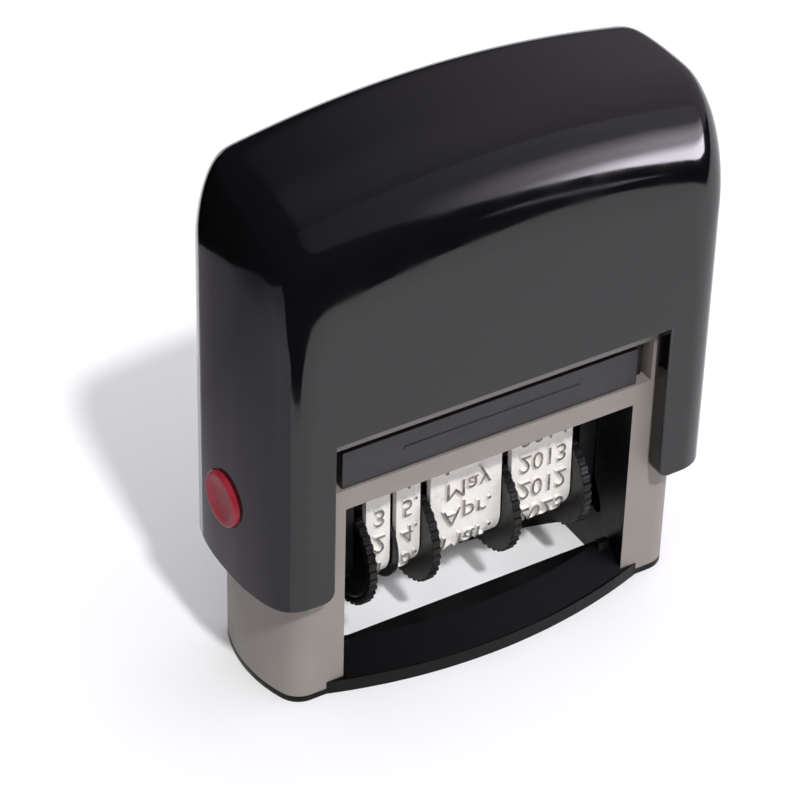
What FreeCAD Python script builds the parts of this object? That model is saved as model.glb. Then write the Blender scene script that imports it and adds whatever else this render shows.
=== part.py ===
import FreeCAD, Part
import math
import os
import re

import Sketcher
from FreeCAD import Placement, Rotation, Vector

# Self-inking date stamp, in millimetres. +Z is up, X runs along the stamp, the front
# faces -Y, and the origin is on the table under the middle of the foot.

# Driving dimensions, one cell each
DIMENSIONS = {
    # outer cover
    "cover_length": 56.8,
    "cover_depth": 20.6,
    "cover_wall": 2.1,
    "cover_bottom": 15.3,
    "cover_corner": 4.0,
    "end_bulge": 3.0,
    "crown_end": 63.2,
    "crown_rise": 3.4,
    "crown_edge": 6.2,
    "crown_shoulder": 6.5,
    "cut_out_width": 41.4,
    "cut_out_top": 35.9,
    # stroke of the cover and place of the carriage's pivot
    "travel": 14.5,
    "pivot_height": 21.6,
    "face_reach": 7.0,
    # frame shell
    "frame_gap": 0.35,
    "frame_wall": 1.8,
    "frame_end_wall": 1.6,
    "window_width": 36.3,
    "window_top": 25.1,
    "rail_top": 27.7,
    "tower_half_width": 20.9,
    "tower_post": 0.8,
    "slot_top": 32.9,
    "bridge_thickness": 2.5,
    "post_radius": 4.0,
    "post_height": 9.0,
    # foot plate
    "foot_rim": 0.8,
    "foot_lip": 1.7,
    "foot_sill": 4.3,
    "foot_bulge": 3.3,
    "foot_chord": 40.6,
    "foot_bar_width": 4.25,
    "foot_crest": 0.55,
    # guide plates
    "guide_thickness": 1.75,
    "guide_ledge": 1.25,
    "ledge_thickness": 1.5,
    "groove_depth": 1.0,
    "guide_clearance": 0.15,
    # ink cartridge and felt
    "cartridge_depth": 15.2,
    "panel_width": 37.0,
    "cartridge_top": 32.5,
    "cartridge_wall": 1.2,
    "cartridge_side_gap": 0.2,
    "felt_width": 29.6,
    "felt_depth": 11.8,
    "running_gap": 0.1,
    "pad_gap": 0.15,
    # inner yoke
    "yoke_underside": 52.0,
    "yoke_plate": 2.5,
    "yoke_depth": 15.0,
    "arm_gap": 0.25,
    "arm_thickness": 1.6,
    "arm_depth": 8.0,
    "cup_radius": 6.9,
    "cup_wall": 1.0,
    "cup_top": 0.8,
    "cup_drop": 1.4,
    "seat_gap": 0.1,
    "ridge_depth": 0.8,
    "ridge_height": 0.7,
    # return spring
    "spring_wire": 0.9,
    "spring_radius": 4.9,
    "spring_turns": 9.5,
    # carriage
    "cheek_inside": 14.5,
    "cheek_thickness": 2.1,
    "cheek_half_depth": 3.4,
    "cheek_top": 4.6,
    "anvil_half_depth": 2.5,
    "anvil_bottom": 2.2,
    "nose_radius": 1.0,
    "pivot_radius": 1.5,
    "pin_head_radius": 2.5,
    "pin_head": 0.8,
    "control_radius": 0.75,
    "control_reach": 2.35,
    "bearing_clearance": 0.05,
    # setting wheels and date bands
    "axle_drop": 8.9,
    "axle_radius": 1.25,
    "axle_overhang": 0.3,
    "clip_radius": 2.3,
    "clip_thickness": 0.5,
    "drum_radius": 3.0,
    "flange_radius": 6.8,
    "flange_thickness": 1.0,
    "notch_radius": 0.45,
    "separator_radius": 4.9,
    "separator_thickness": 0.4,
    "wheel_gap": 0.1,
    "band_thickness": 0.8,
    "character_height": 0.6,
    "band_slack": 0.15,
    "day_width": 3.2,
    "month_width": 9.3,
    "year_width": 8.1,
    # lock buttons
    "button_height": 25.2,
    "button_radius": 3.2,
    "button_proud": 0.6,
    "button_lip": 1.0,
    "button_flange": 4.2,
    "button_flange_thickness": 0.5,
    "button_clearance": 0.1,
    "button_pin": 1.0,
    "leaf_width": 3.0,
    "leaf_thickness": 0.3,
    "leaf_top": 38.0,
}
NOTCHES = 24
SIDES = {"left": -1, "right": 1}

doc = FreeCAD.newDocument("DateStamp")
sheet = doc.addObject("Spreadsheet::Sheet", "Sizes")
for row, (alias, number) in enumerate(DIMENSIONS.items(), start=1):
    sheet.set(f"A{row}", alias)
    sheet.set(f"B{row}", str(number))
    sheet.setAlias(f"B{row}", alias)
doc.recompute()
size = {alias: float(sheet.get(alias)) for alias in DIMENSIONS}
nodes = []


# Formulas of the sheet's names that several pieces share
END_RADIUS = "((cover_depth ^ 2 / 4 + end_bulge ^ 2) / (2 * end_bulge))"
CROWN_RADIUS = "(cover_length ^ 2 / (8 * crown_rise) + crown_rise / 2)"
CROWN_TOP = "(crown_end + crown_rise)"
FRAME_INSET = "(cover_wall + frame_gap)"
FRAME_FACE = f"(cover_depth / 2 - {FRAME_INSET})"
WINDOW_SIDE = "(window_width / 2)"
BRIDGE_TOP = "(slot_top + bridge_thickness)"
ARM_INSIDE = "(tower_half_width + arm_gap)"
ARM_OUTSIDE = f"({ARM_INSIDE} + arm_thickness)"
CHEEK_OUTSIDE = "(cheek_inside + cheek_thickness)"
PAD_HEIGHT = "(pivot_height + face_reach + pad_gap)"
AXLE_HEIGHT = "(pivot_height - axle_drop)"
CUP_ROOF = f"({CROWN_TOP} - cover_wall - cup_drop - cup_top)"
FOOT_RADIUS = "(foot_chord ^ 2 / (8 * foot_bulge) + foot_bulge / 2)"
FLANGE_FACE = "(cover_length / 2 - button_lip)"
LEAF_FACE = f"({FLANGE_FACE} - button_flange_thickness)"


def linked(formula):
    """The formula with each of the sheet's names written as a link to its cell."""

    def link(word):
        return f"Sizes.{word.group()}" if word.group() in size else word.group()

    return re.sub(r"[a-z_]+", link, str(formula))


def mirrored(side, inner, outer):
    """A span from inner to outer, counted away from the middle on one side."""
    return (inner, outer) if side > 0 else (f"-({outer})", f"-({inner})")


def placed(shape, x, y, z):
    """Binds the place of a shape to three formulas."""
    for axis, formula in zip("xyz", (x, y, z)):
        shape.setExpression(f"Placement.Base.{axis}", linked(formula))
    return shape


def box(name, x_span, y_span, z_span):
    """A box given by its span along each axis."""
    block = doc.addObject("Part::Box", name)
    spans = (x_span, y_span, z_span)
    for side, (low, high) in zip(("Length", "Width", "Height"), spans):
        block.setExpression(side, linked(f"({high}) - ({low})"))
    return placed(block, *[low for low, high in spans])


def upright(name, radius, x, y, z_span):
    """A cylinder that stands along Z."""
    rod = doc.addObject("Part::Cylinder", name)
    rod.setExpression("Radius", linked(radius))
    rod.setExpression("Height", linked(f"({z_span[1]}) - ({z_span[0]})"))
    return placed(rod, x, y, z_span[0])


def crosswise(name, radius, x_span, y, z):
    """A cylinder that lies along X."""
    rod = doc.addObject("Part::Cylinder", name)
    rod.setExpression("Radius", linked(radius))
    rod.setExpression("Height", linked(f"({x_span[1]}) - ({x_span[0]})"))
    rod.Placement = Placement(Vector(), Rotation(Vector(0, 1, 0), 90))
    return placed(rod, x_span[0], y, z)


def both_ways(half):
    """A span that is centred on zero."""
    return f"-({half})", half


def combined(kind, name, shapes):
    """A union or an intersection of several shapes."""
    result = doc.addObject(kind, name)
    result.Shapes = shapes
    return result


def fused(name, *shapes):
    return combined("Part::MultiFuse", name, list(shapes))


def shared(name, *shapes):
    return combined("Part::MultiCommon", name, list(shapes))


def cut(name, base, *tools):
    """The base with one or several tools taken out of it, one after another."""
    for count, tool in enumerate(tools, start=1):
        result = doc.addObject("Part::Cut", f"{name}_cut_{count}")
        result.Base = base
        result.Tool = tool
        base = result
    return base


def rounded(name, base, radius, is_edge):
    """The base with the edges that is_edge picks rounded to one radius."""
    doc.recompute()
    edges = enumerate(base.Shape.Edges, start=1)
    picked = [(number, radius, radius) for number, edge in edges if is_edge(edge)]
    result = doc.addObject("Part::Fillet", name)
    result.Base = base
    result.Edges = picked
    return result


def computed(name, shape):
    """A piece whose form comes from a formula that no primitive has."""
    feature = doc.addObject("Part::Feature", name)
    feature.Shape = shape
    return feature


def node(name, shape):
    """Names a finished sub-part."""
    shape.Label = name
    nodes.append(shape)
    return shape


def is_vertical(edge):
    start, end = edge.Vertexes[0].Point, edge.Vertexes[-1].Point
    sideways = math.hypot(start.x - end.x, start.y - end.y)
    return abs(start.z - end.z) > 0.1 and sideways < 1e-6


# The cover's form


def bulged_block(name, end_inset, face_inset, z_span):
    """The stamp's plan with sharp corners, drawn in at its bulged ends and its straight faces."""
    end, face = f"cover_length / 2 - {end_inset}", f"cover_depth / 2 - {face_inset}"
    block = box(f"{name}_block", both_ways(end), both_ways(face), z_span)
    caps = [
        upright(
            f"{name}_cap_{side}",
            f"{END_RADIUS} - {end_inset}",
            f"{sign} * (cover_length / 2 - {END_RADIUS})",
            "0",
            z_span,
        )
        for side, sign in SIDES.items()
    ]
    middle = box(
        f"{name}_middle",
        both_ways(f"cover_length / 2 - {END_RADIUS}"),
        both_ways("cover_depth"),
        z_span,
    )
    return shared(f"{name}_sharp", block, fused(f"{name}_ends", middle, *caps))


def plan_prism(name, inset, inset_size, z_span):
    """The stamp's plan with its round corners, drawn in by one inset all round."""
    sharp = bulged_block(name, inset, inset, z_span)
    return rounded(f"{name}_plan", sharp, size["cover_corner"] - inset_size, is_vertical)


def crown_puck(name, inset, inset_size):
    """The arched top: a broad disc on edge whose rim is rounded over."""
    disc = doc.addObject("Part::Cylinder", f"{name}_disc")
    disc.setExpression("Radius", linked(f"{CROWN_RADIUS} - {inset}"))
    disc.setExpression("Height", linked(f"cover_depth - 2 * {inset}"))
    disc.Placement = Placement(Vector(), Rotation(Vector(1, 0, 0), -90))
    placed(disc, "0", f"{inset} - cover_depth / 2", f"{CROWN_TOP} - {CROWN_RADIUS}")
    edge_radius = size["crown_edge"] - inset_size
    return rounded(f"{name}_crown", disc, edge_radius, lambda edge: edge.Closed)


def front_prism(name, inset_size, bottom):
    """The stamp's front outline, with its shoulders rounded into the arch of the top."""
    half = size["cover_length"] / 2 - inset_size
    depth = size["cover_depth"]
    rise, length = size["crown_rise"], size["cover_length"]
    crown = length**2 / (8 * rise) + rise / 2
    middle = size["crown_end"] + rise - crown
    arch = crown - inset_size
    shoulder = size["crown_shoulder"] - inset_size
    shoulder_x = half - shoulder
    shoulder_z = middle + math.sqrt((arch - shoulder) ** 2 - shoulder_x**2)
    slope = math.atan2(shoulder_z - middle, shoulder_x)

    def point(x, z):
        return Vector(x, -depth, z)

    def shoulder_point(side, angle):
        across = shoulder_x + shoulder * math.cos(angle)
        return point(side * across, shoulder_z + shoulder * math.sin(angle))

    top = point(0, middle + arch)
    corners = {side: shoulder_point(side, slope) for side in (-1, 1)}
    edges = [
        Part.LineSegment(point(-half, bottom), point(half, bottom)),
        Part.LineSegment(point(half, bottom), point(half, shoulder_z)),
        Part.Arc(point(half, shoulder_z), shoulder_point(1, slope / 2), corners[1]),
        Part.Arc(corners[1], top, corners[-1]),
        Part.Arc(corners[-1], shoulder_point(-1, slope / 2), point(-half, shoulder_z)),
        Part.LineSegment(point(-half, shoulder_z), point(-half, bottom)),
    ]
    face = Part.Face(Part.Wire([edge.toShape() for edge in edges]))
    return computed(f"{name}_front", face.extrude(Vector(0, 2 * depth, 0)))


def cover_form(name, inset, inset_size, bottom, bottom_size):
    """The cover's outer form, or its cavity where there is an inset."""
    plan = plan_prism(name, inset, inset_size, (bottom, CROWN_TOP))
    crown = crown_puck(name, inset, inset_size)
    front = front_prism(name, inset_size, bottom_size)
    return shared(f"{name}_form", plan, crown, front)


# Outer cover

cover_skin = cover_form("cover", "0", 0.0, "cover_bottom", size["cover_bottom"])
cover_cavity = cover_form(
    "cavity", "cover_wall", size["cover_wall"], "cover_bottom - 1", size["cover_bottom"] - 1
)
cut_out = box(
    "cut_out",
    both_ways("cut_out_width / 2"),
    both_ways("cover_depth"),
    ("cover_bottom - 1", "cut_out_top"),
)
button_openings = []
ridges = []
for side, sign in SIDES.items():
    hole_span = mirrored(sign, "cover_length / 2 - 2 * cover_wall", "cover_length / 2 + 1")
    hole = crosswise(
        f"button_hole_{side}", "button_radius + button_clearance", hole_span, "0", "button_height"
    )
    seat_span = mirrored(sign, "cover_length / 2 - 2 * cover_wall", FLANGE_FACE)
    seat = crosswise(
        f"button_seat_{side}", "button_flange + button_clearance", seat_span, "0", "button_height"
    )
    channel = box(
        f"leaf_channel_{side}",
        mirrored(sign, "cover_length / 2 - 2 * cover_wall", LEAF_FACE),
        both_ways("leaf_width / 2 + button_clearance"),
        ("button_height - button_pin - 2 * leaf_thickness", "leaf_top + button_clearance"),
    )
    button_openings += [hole, seat, channel]
    ridges.append(
        box(
            f"yoke_ridge_{side}",
            mirrored(
                sign,
                "cover_length / 2 - cover_wall - ridge_depth",
                "cover_length / 2 - cover_wall / 2",
            ),
            both_ways("arm_depth / 2"),
            ("yoke_underside - seat_gap - ridge_height", "yoke_underside - seat_gap"),
        )
    )
cover_shell = cut("cover_shell", cover_skin, cover_cavity, cut_out, *button_openings)
node("outer_cover", fused("cover_with_ridges", cover_shell, *ridges))

# Frame shell: skirt, window surround, slot for the cartridge, bridge and spring post

skirt = plan_prism(
    "skirt", FRAME_INSET, size["cover_wall"] + size["frame_gap"], ("foot_rim", "rail_top")
)
skirt_room = bulged_block(
    "skirt_room",
    f"({FRAME_INSET} + frame_end_wall)",
    f"({FRAME_INSET} + frame_wall)",
    ("foot_rim - 1", "rail_top + 1"),
)
window = box(
    "window", both_ways(WINDOW_SIDE), both_ways("cover_depth"), ("foot_rim - 1", "window_top")
)
lock_holes = [
    crosswise(
        f"lock_hole_{side}",
        "button_pin + 2 * button_clearance",
        mirrored(sign, ARM_OUTSIDE, "cover_length / 2"),
        "0",
        "button_height",
    )
    for side, sign in SIDES.items()
]
skirt_shell = cut("skirt_shell", skirt, skirt_room, window, *lock_holes)
tower = box(
    "tower", both_ways("tower_half_width"), both_ways(FRAME_FACE), ("rail_top", BRIDGE_TOP)
)
slot = box(
    "slot",
    both_ways("tower_half_width - tower_post"),
    both_ways("cover_depth"),
    ("rail_top - 1", "slot_top"),
)
tower_shell = cut("tower_shell", tower, slot)
post = upright(
    "spring_post", "post_radius", "0", "0", (f"{BRIDGE_TOP} - 1", f"{BRIDGE_TOP} + post_height")
)
node("frame_shell", fused("frame_body", skirt_shell, tower_shell, post))

# Foot plate: a thin rim under the skirt and a bulged bar along each face


def foot_bar(name, sign):
    """One bulged bar: a lip, a slope up to the crest and the sill's inner edge."""
    y = f"{sign} * ({FRAME_FACE} + foot_bulge - {FOOT_RADIUS})"
    inner = f"{FOOT_RADIUS} - foot_bar_width"
    lip = upright(f"{name}_lip", FOOT_RADIUS, "0", y, ("0", "foot_lip"))
    slope = doc.addObject("Part::Cone", f"{name}_slope")
    slope.setExpression("Radius1", linked(f"{FOOT_RADIUS} - foot_crest / 2"))
    slope.setExpression("Radius2", linked(f"{inner} + foot_crest"))
    slope.setExpression("Height", linked("foot_sill - foot_lip"))
    placed(slope, "0", y, "foot_lip")
    bore = upright(f"{name}_bore", inner, "0", y, ("-1", "foot_sill + 1"))
    ring = cut(f"{name}_ring", fused(f"{name}_solid", lip, slope), bore)
    near = mirrored(sign, "0", "cover_depth")
    ahead = mirrored(sign, FRAME_FACE, "cover_depth")
    reach = "foot_chord / 2 + foot_bulge"
    limits = {
        "sill": (f"{WINDOW_SIDE} - seat_gap", near, "foot_sill"),
        "base": (reach, near, "foot_rim"),
        "nose": (reach, ahead, "foot_lip"),
    }
    parts = []
    for part, (half, y_span, top) in limits.items():
        limit = box(f"{name}_{part}_limit", both_ways(half), y_span, ("0", top))
        parts.append(shared(f"{name}_{part}", ring, limit))
    return fused(name, *parts)


rim = plan_prism("rim", FRAME_INSET, size["cover_wall"] + size["frame_gap"], ("0", "foot_rim"))
rim_opening = box(
    "rim_opening", both_ways(WINDOW_SIDE), both_ways("cover_depth"), ("-1", "foot_rim + 1")
)
rim_ends = cut("rim_ends", rim, rim_opening)
bars = [foot_bar(f"foot_bar_{name}", sign) for name, sign in (("front", -1), ("back", 1))]
node("foot_plate", fused("foot", rim_ends, *bars))

# Guide plates: a slot for the pivot pin and a cam groove for the control pin


def cam_point(turn, bearing):
    """A point on the groove's wall, half a width from the control pin's path.

    The pin turns with the carriage as it sinks. The bearing is the angle between the path's
    direction and the point: a right angle is beside the path, zero is ahead of it.
    """
    sink = size["travel"] / math.pi
    reach = size["control_reach"]
    half_width = size["control_radius"] + size["guide_clearance"]
    path = Vector(0, reach * math.cos(turn), -sink * turn - reach * math.sin(turn))
    path.z += size["pivot_height"]
    along = Vector(0, -reach * math.sin(turn), -sink - reach * math.cos(turn)).normalize()
    aside = Vector(0, -along.z, along.y)
    return path + (along * math.cos(bearing) + aside * math.sin(bearing)) * half_width


def cam_groove(name, x_low, depth):
    """The groove, extruded across the plate's inner face: two walls and two round ends."""
    steps = 32
    turns = [math.pi * step / steps for step in range(steps + 1)]
    bearings = [math.pi * step / 8 for step in range(1, 8)]
    beside = math.pi / 2
    outline = [cam_point(turn, beside) for turn in turns]
    outline += [cam_point(math.pi, beside - bearing) for bearing in bearings]
    outline += [cam_point(turn, -beside) for turn in reversed(turns)]
    outline += [cam_point(0.0, -beside - bearing) for bearing in bearings]
    groove = Part.Face(Part.makePolygon(outline + outline[:1])).extrude(Vector(depth, 0, 0))
    groove.translate(Vector(x_low, 0, 0))
    return computed(name, groove)


for side, sign in SIDES.items():
    plate = box(
        f"guide_block_{side}",
        mirrored(sign, WINDOW_SIDE, f"{WINDOW_SIDE} + guide_thickness"),
        both_ways(f"{FRAME_FACE} - frame_wall"),
        ("foot_rim", "rail_top"),
    )
    ledge = box(
        f"guide_ledge_{side}",
        mirrored(sign, f"{WINDOW_SIDE} - guide_ledge", WINDOW_SIDE),
        both_ways(f"{FRAME_FACE} - frame_wall"),
        ("rail_top - ledge_thickness", "rail_top"),
    )
    through = mirrored(sign, f"{WINDOW_SIDE} - 1", f"{WINDOW_SIDE} + guide_thickness + 1")
    slot_radius = "pivot_radius + guide_clearance"
    slot_top = crosswise(f"slot_top_{side}", slot_radius, through, "0", "pivot_height")
    slot_end = crosswise(f"slot_end_{side}", slot_radius, through, "0", "pivot_height - travel")
    slot_run = box(
        f"slot_run_{side}",
        through,
        both_ways(slot_radius),
        ("pivot_height - travel", "pivot_height"),
    )
    face = size["window_width"] / 2
    low = face if sign > 0 else -face - size["groove_depth"]
    groove = cam_groove(f"cam_groove_{side}", low, size["groove_depth"])
    blank = fused(f"guide_blank_{side}", plate, ledge)
    guide = cut(f"guide_{side}", blank, slot_top, slot_end, slot_run, groove)
    node(f"guide_plate_{side}", guide)

# Ink cartridge and its felt

TRAY_SIDE = "(tower_half_width - tower_post - cartridge_side_gap)"
TRAY_SPAN = ("cartridge_wall - cartridge_depth / 2", "cartridge_depth / 2")
tray = box("tray", both_ways(TRAY_SIDE), TRAY_SPAN, (PAD_HEIGHT, "cartridge_top"))
panel = box(
    "tray_panel",
    both_ways("panel_width / 2"),
    ("-cartridge_depth / 2", "2 * cartridge_wall - cartridge_depth / 2"),
    ("rail_top + running_gap", "cartridge_top"),
)
runners = [
    box(
        f"tray_runner_{side}",
        mirrored(sign, f"{WINDOW_SIDE} - 2 * guide_ledge", TRAY_SIDE),
        TRAY_SPAN,
        ("rail_top + running_gap", "cartridge_top"),
    )
    for side, sign in SIDES.items()
]
felt_room = box(
    "felt_room",
    both_ways("felt_width / 2 + seat_gap"),
    both_ways("felt_depth / 2 + seat_gap"),
    ("rail_top", "cartridge_top - cartridge_wall"),
)
tray_solid = fused("tray_solid", tray, panel, *runners)
node("ink_cartridge", cut("tray_shell", tray_solid, felt_room))
felt = box(
    "felt",
    both_ways("felt_width / 2"),
    both_ways("felt_depth / 2"),
    (PAD_HEIGHT, "cartridge_top - cartridge_wall"),
)
node("ink_felt", felt)

# Inner yoke: a plate under the cover's roof, a cup for the spring and two arms

PLATE_SPAN = ("yoke_underside", "yoke_underside + yoke_plate")
yoke_plan = plan_prism(
    "yoke", "(cover_wall + seat_gap)", size["cover_wall"] + size["seat_gap"], PLATE_SPAN
)
yoke_band = box(
    "yoke_band", both_ways("cover_length / 2"), both_ways("yoke_depth / 2"), PLATE_SPAN
)
yoke_plate = shared("yoke_plate", yoke_plan, yoke_band)
cup = upright("spring_cup", "cup_radius", "0", "0", ("yoke_underside", f"{CUP_ROOF} + cup_top"))
cup_room = upright(
    "spring_cup_room", "cup_radius - cup_wall", "0", "0", ("yoke_underside - 1", CUP_ROOF)
)
arms = []
arm_bores = []
for side, sign in SIDES.items():
    arm_span = mirrored(sign, ARM_INSIDE, ARM_OUTSIDE)
    arms.append(
        box(
            f"arm_block_{side}",
            arm_span,
            both_ways("arm_depth / 2"),
            ("pivot_height", "yoke_underside + yoke_plate"),
        )
    )
    arms.append(crosswise(f"arm_end_{side}", "arm_depth / 2", arm_span, "0", "pivot_height"))
    arm_bores.append(
        crosswise(
            f"arm_bore_{side}",
            "pivot_radius + bearing_clearance",
            mirrored(sign, f"{ARM_INSIDE} - 1", f"{ARM_OUTSIDE} + 1"),
            "0",
            "pivot_height",
        )
    )
yoke_solid = fused("yoke_solid", yoke_plate, cup, *arms)
node("inner_yoke", cut("yoke_body", yoke_solid, cup_room, *arm_bores))

# Return spring, from the frame's bridge to the roof of the yoke's cup

wire = size["spring_wire"]
spring_foot = size["slot_top"] + size["bridge_thickness"] + wire / 2
crown_top = size["crown_end"] + size["crown_rise"]
cup_roof = crown_top - size["cover_wall"] - size["cup_drop"] - size["cup_top"]
coil_height = cup_roof - wire / 2 - spring_foot
pitch = coil_height / size["spring_turns"]
coil_path = Part.makeLongHelix(pitch, coil_height, size["spring_radius"])
section = Part.Wire(
    Part.makeCircle(wire / 2, Vector(size["spring_radius"], 0, 0), Vector(0, 1, 0))
)
coil = Part.Wire(coil_path).makePipeShell([section], True, False)
coil.translate(Vector(0, 0, spring_foot))
print("gap between turns of the spring", round(pitch - wire, 2))
node("return_spring", computed("spring_coil", coil))

# Carriage: two cheeks joined by the anvil under the type faces, and the control pins

cheeks = []
cheek_holes = []
for side, sign in SIDES.items():
    cheek_span = mirrored(sign, "cheek_inside", CHEEK_OUTSIDE)
    cheeks.append(
        box(
            f"cheek_block_{side}",
            cheek_span,
            both_ways("cheek_half_depth"),
            (AXLE_HEIGHT, "pivot_height + cheek_top"),
        )
    )
    cheeks.append(crosswise(f"cheek_end_{side}", "cheek_half_depth", cheek_span, "0", AXLE_HEIGHT))
    cheeks.append(
        crosswise(
            f"control_pin_{side}",
            "control_radius",
            mirrored(
                sign, "cheek_inside", f"{WINDOW_SIDE} + groove_depth - 2 * running_gap"
            ),
            "control_reach",
            "pivot_height",
        )
    )
    past_cheek = mirrored(sign, "cheek_inside - 1", f"{CHEEK_OUTSIDE} + 1")
    cheek_holes.append(
        crosswise(f"pivot_hole_{side}", "pivot_radius", past_cheek, "0", "pivot_height")
    )
    cheek_holes.append(
        crosswise(f"axle_hole_{side}", "axle_radius", past_cheek, "0", AXLE_HEIGHT)
    )
ANVIL_TOP = "(pivot_height + face_reach - character_height - 3 * band_thickness / 2)"
anvil_block = box(
    "anvil_block",
    both_ways("cheek_inside + cheek_thickness / 2"),
    both_ways("anvil_half_depth"),
    ("pivot_height + anvil_bottom", ANVIL_TOP),
)


def is_nose(edge):
    start, end = edge.Vertexes[0].Point, edge.Vertexes[-1].Point
    along = abs(start.x - end.x) > 1
    return along and start.z > size["pivot_height"] + size["anvil_bottom"] + 1


anvil = rounded("anvil", anvil_block, size["nose_radius"], is_nose)
carriage_solid = fused("carriage_solid", anvil, *cheeks)
node("carriage_body", cut("carriage", carriage_solid, *cheek_holes))

for side, sign in SIDES.items():
    shank = crosswise(
        f"pin_shank_{side}",
        "pivot_radius",
        mirrored(sign, "cheek_inside", f"{ARM_OUTSIDE} + running_gap"),
        "0",
        "pivot_height",
    )
    head = crosswise(
        f"pin_head_{side}",
        "pin_head_radius",
        mirrored(sign, f"{ARM_OUTSIDE} + running_gap", f"{ARM_OUTSIDE} + running_gap + pin_head"),
        "0",
        "pivot_height",
    )
    node(f"pivot_pin_{side}", fused(f"pin_{side}", shank, head))

# Wheel axle with its clips

AXLE_END = f"({CHEEK_OUTSIDE} + clip_thickness + axle_overhang)"
node("wheel_axle", crosswise("axle", "axle_radius", both_ways(AXLE_END), "0", AXLE_HEIGHT))
for side, sign in SIDES.items():
    clip_span = mirrored(sign, CHEEK_OUTSIDE, f"{CHEEK_OUTSIDE} + clip_thickness")
    disc = crosswise(f"clip_disc_{side}", "clip_radius", clip_span, "0", AXLE_HEIGHT)
    hole = crosswise(f"clip_hole_{side}", "axle_radius", clip_span, "0", AXLE_HEIGHT)
    node(f"axle_clip_{side}", cut(f"clip_{side}", disc, hole))

# Setting wheels, laid out along the axle from left to right

# Each wheel's drum width, and the side that its large flange is on
WHEELS = {
    "day_tens": ("day_width", -1),
    "day_units": ("day_width", 1),
    "month": ("month_width", 1),
    "year": ("year_width", 1),
}
ROW_WIDTH = (
    "(2 * day_width + month_width + year_width + 4 * flange_thickness"
    " + separator_thickness + 4 * wheel_gap)"
)


def origin_plane(body, role):
    return next(feature for feature in body.Origin.OriginFeatures if feature.Role == role)


def sketch_on(body, name, role):
    sketch = body.newObject("Sketcher::SketchObject", name)
    sketch.AttachmentSupport = (origin_plane(body, role), "")
    sketch.MapMode = "FlatFace"
    return sketch


def bound(sketch, kind, elements, formula):
    """A dimension of a sketch that follows a formula."""
    number = sketch.addConstraint(Sketcher.Constraint(kind, *elements, 1.0))
    sketch.setExpression(f"Constraints[{number}]", linked(formula))


def polygon(body, name, role, corners):
    """A closed outline whose corners each follow two formulas."""
    sketch = sketch_on(body, name, role)
    count = len(corners)
    turns = [2 * math.pi * step / count for step in range(count)]
    starts = [Vector(math.cos(turn), math.sin(turn), 0) for turn in turns]
    for step in range(count):
        sketch.addGeometry(Part.LineSegment(starts[step], starts[(step + 1) % count]))
    for step in range(count):
        following = (step + 1) % count
        sketch.addConstraint(Sketcher.Constraint("Coincident", step, 2, following, 1))
    for step, (across, up) in enumerate(corners):
        bound(sketch, "DistanceX", (-1, 1, step, 1), across)
        bound(sketch, "DistanceY", (-1, 1, step, 1), up)
    return sketch


def setting_wheel(name, width, flange_side):
    """A drum inside the band with a large notched flange on one side, turned about X."""
    body = doc.addObject("PartDesign::Body", f"{name}_wheel_body")
    bore = "axle_radius + bearing_clearance"
    reach = f"{width} + flange_thickness"
    step = width if flange_side > 0 else "flange_thickness"
    low, high = ("drum_radius", "flange_radius")
    if flange_side < 0:
        low, high = high, low
    corners = [("0", bore), (reach, bore), (reach, high), (step, high), (step, low), ("0", low)]
    profile = polygon(body, f"{name}_profile", "XY_Plane", corners)
    turned = body.newObject("PartDesign::Revolution", f"{name}_turned")
    turned.Profile = profile
    turned.ReferenceAxis = (profile, ["H_Axis"])
    turned.Angle = 360
    doc.recompute()
    outline = sketch_on(body, f"{name}_notch_outline", "YZ_Plane")
    outline.addGeometry(Part.Circle(Vector(0, 1, 0), Vector(0, 0, 1), 1))
    outline.addConstraint(Sketcher.Constraint("PointOnObject", 0, 3, -2))
    bound(outline, "DistanceY", (-1, 1, 0, 3), "flange_radius")
    bound(outline, "Radius", (0,), "notch_radius")
    notch = body.newObject("PartDesign::Pocket", f"{name}_notch")
    notch.Profile = outline
    notch.Type = "ThroughAll"
    notch.SideType = "Symmetric"
    pattern = body.newObject("PartDesign::PolarPattern", f"{name}_notches")
    pattern.Originals = [notch]
    pattern.Axis = (origin_plane(body, "X_Axis"), [""])
    pattern.Angle = 360
    pattern.Occurrences = NOTCHES
    body.Tip = pattern
    return body


def band_outline(inner):
    """The loop round the drum and the anvil's nose, as two arcs, two corners and three straights."""
    drum = size["drum_radius"] + size["band_slack"]
    nose = size["nose_radius"] + size["band_thickness"] / 2
    outset = 0 if inner else size["band_thickness"]
    nose_y = size["anvil_half_depth"] - size["nose_radius"]
    flat = size["face_reach"] - size["character_height"] - size["band_thickness"]
    nose_z = size["pivot_height"] + flat - nose
    drum_z = size["pivot_height"] - size["axle_drop"]
    rise = nose_z - drum_z
    lean = math.atan2(nose_y, rise)
    tilt = math.asin((drum - nose) / math.hypot(nose_y, rise)) + 0.0
    normal = tilt - lean

    def point(side, y, z, radius, angle):
        return Vector(0, side * (y + radius * math.cos(angle)), z + radius * math.sin(angle))

    def drum_point(side):
        return point(side, 0, drum_z, drum + outset, normal)

    def nose_point(side, angle):
        return point(side, nose_y, nose_z, nose + outset, angle)

    up = math.pi / 2
    between = (normal + up) / 2
    bottom = Vector(0, 0, drum_z - drum - outset)
    edges = [
        Part.Arc(drum_point(-1), bottom, drum_point(1)),
        Part.LineSegment(drum_point(1), nose_point(1, normal)),
        Part.Arc(nose_point(1, normal), nose_point(1, between), nose_point(1, up)),
        Part.LineSegment(nose_point(1, up), nose_point(-1, up)),
        Part.Arc(nose_point(-1, up), nose_point(-1, between), nose_point(-1, normal)),
        Part.LineSegment(nose_point(-1, normal), drum_point(-1)),
    ]
    return Part.Face(Part.Wire([edge.toShape() for edge in edges]))


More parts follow.
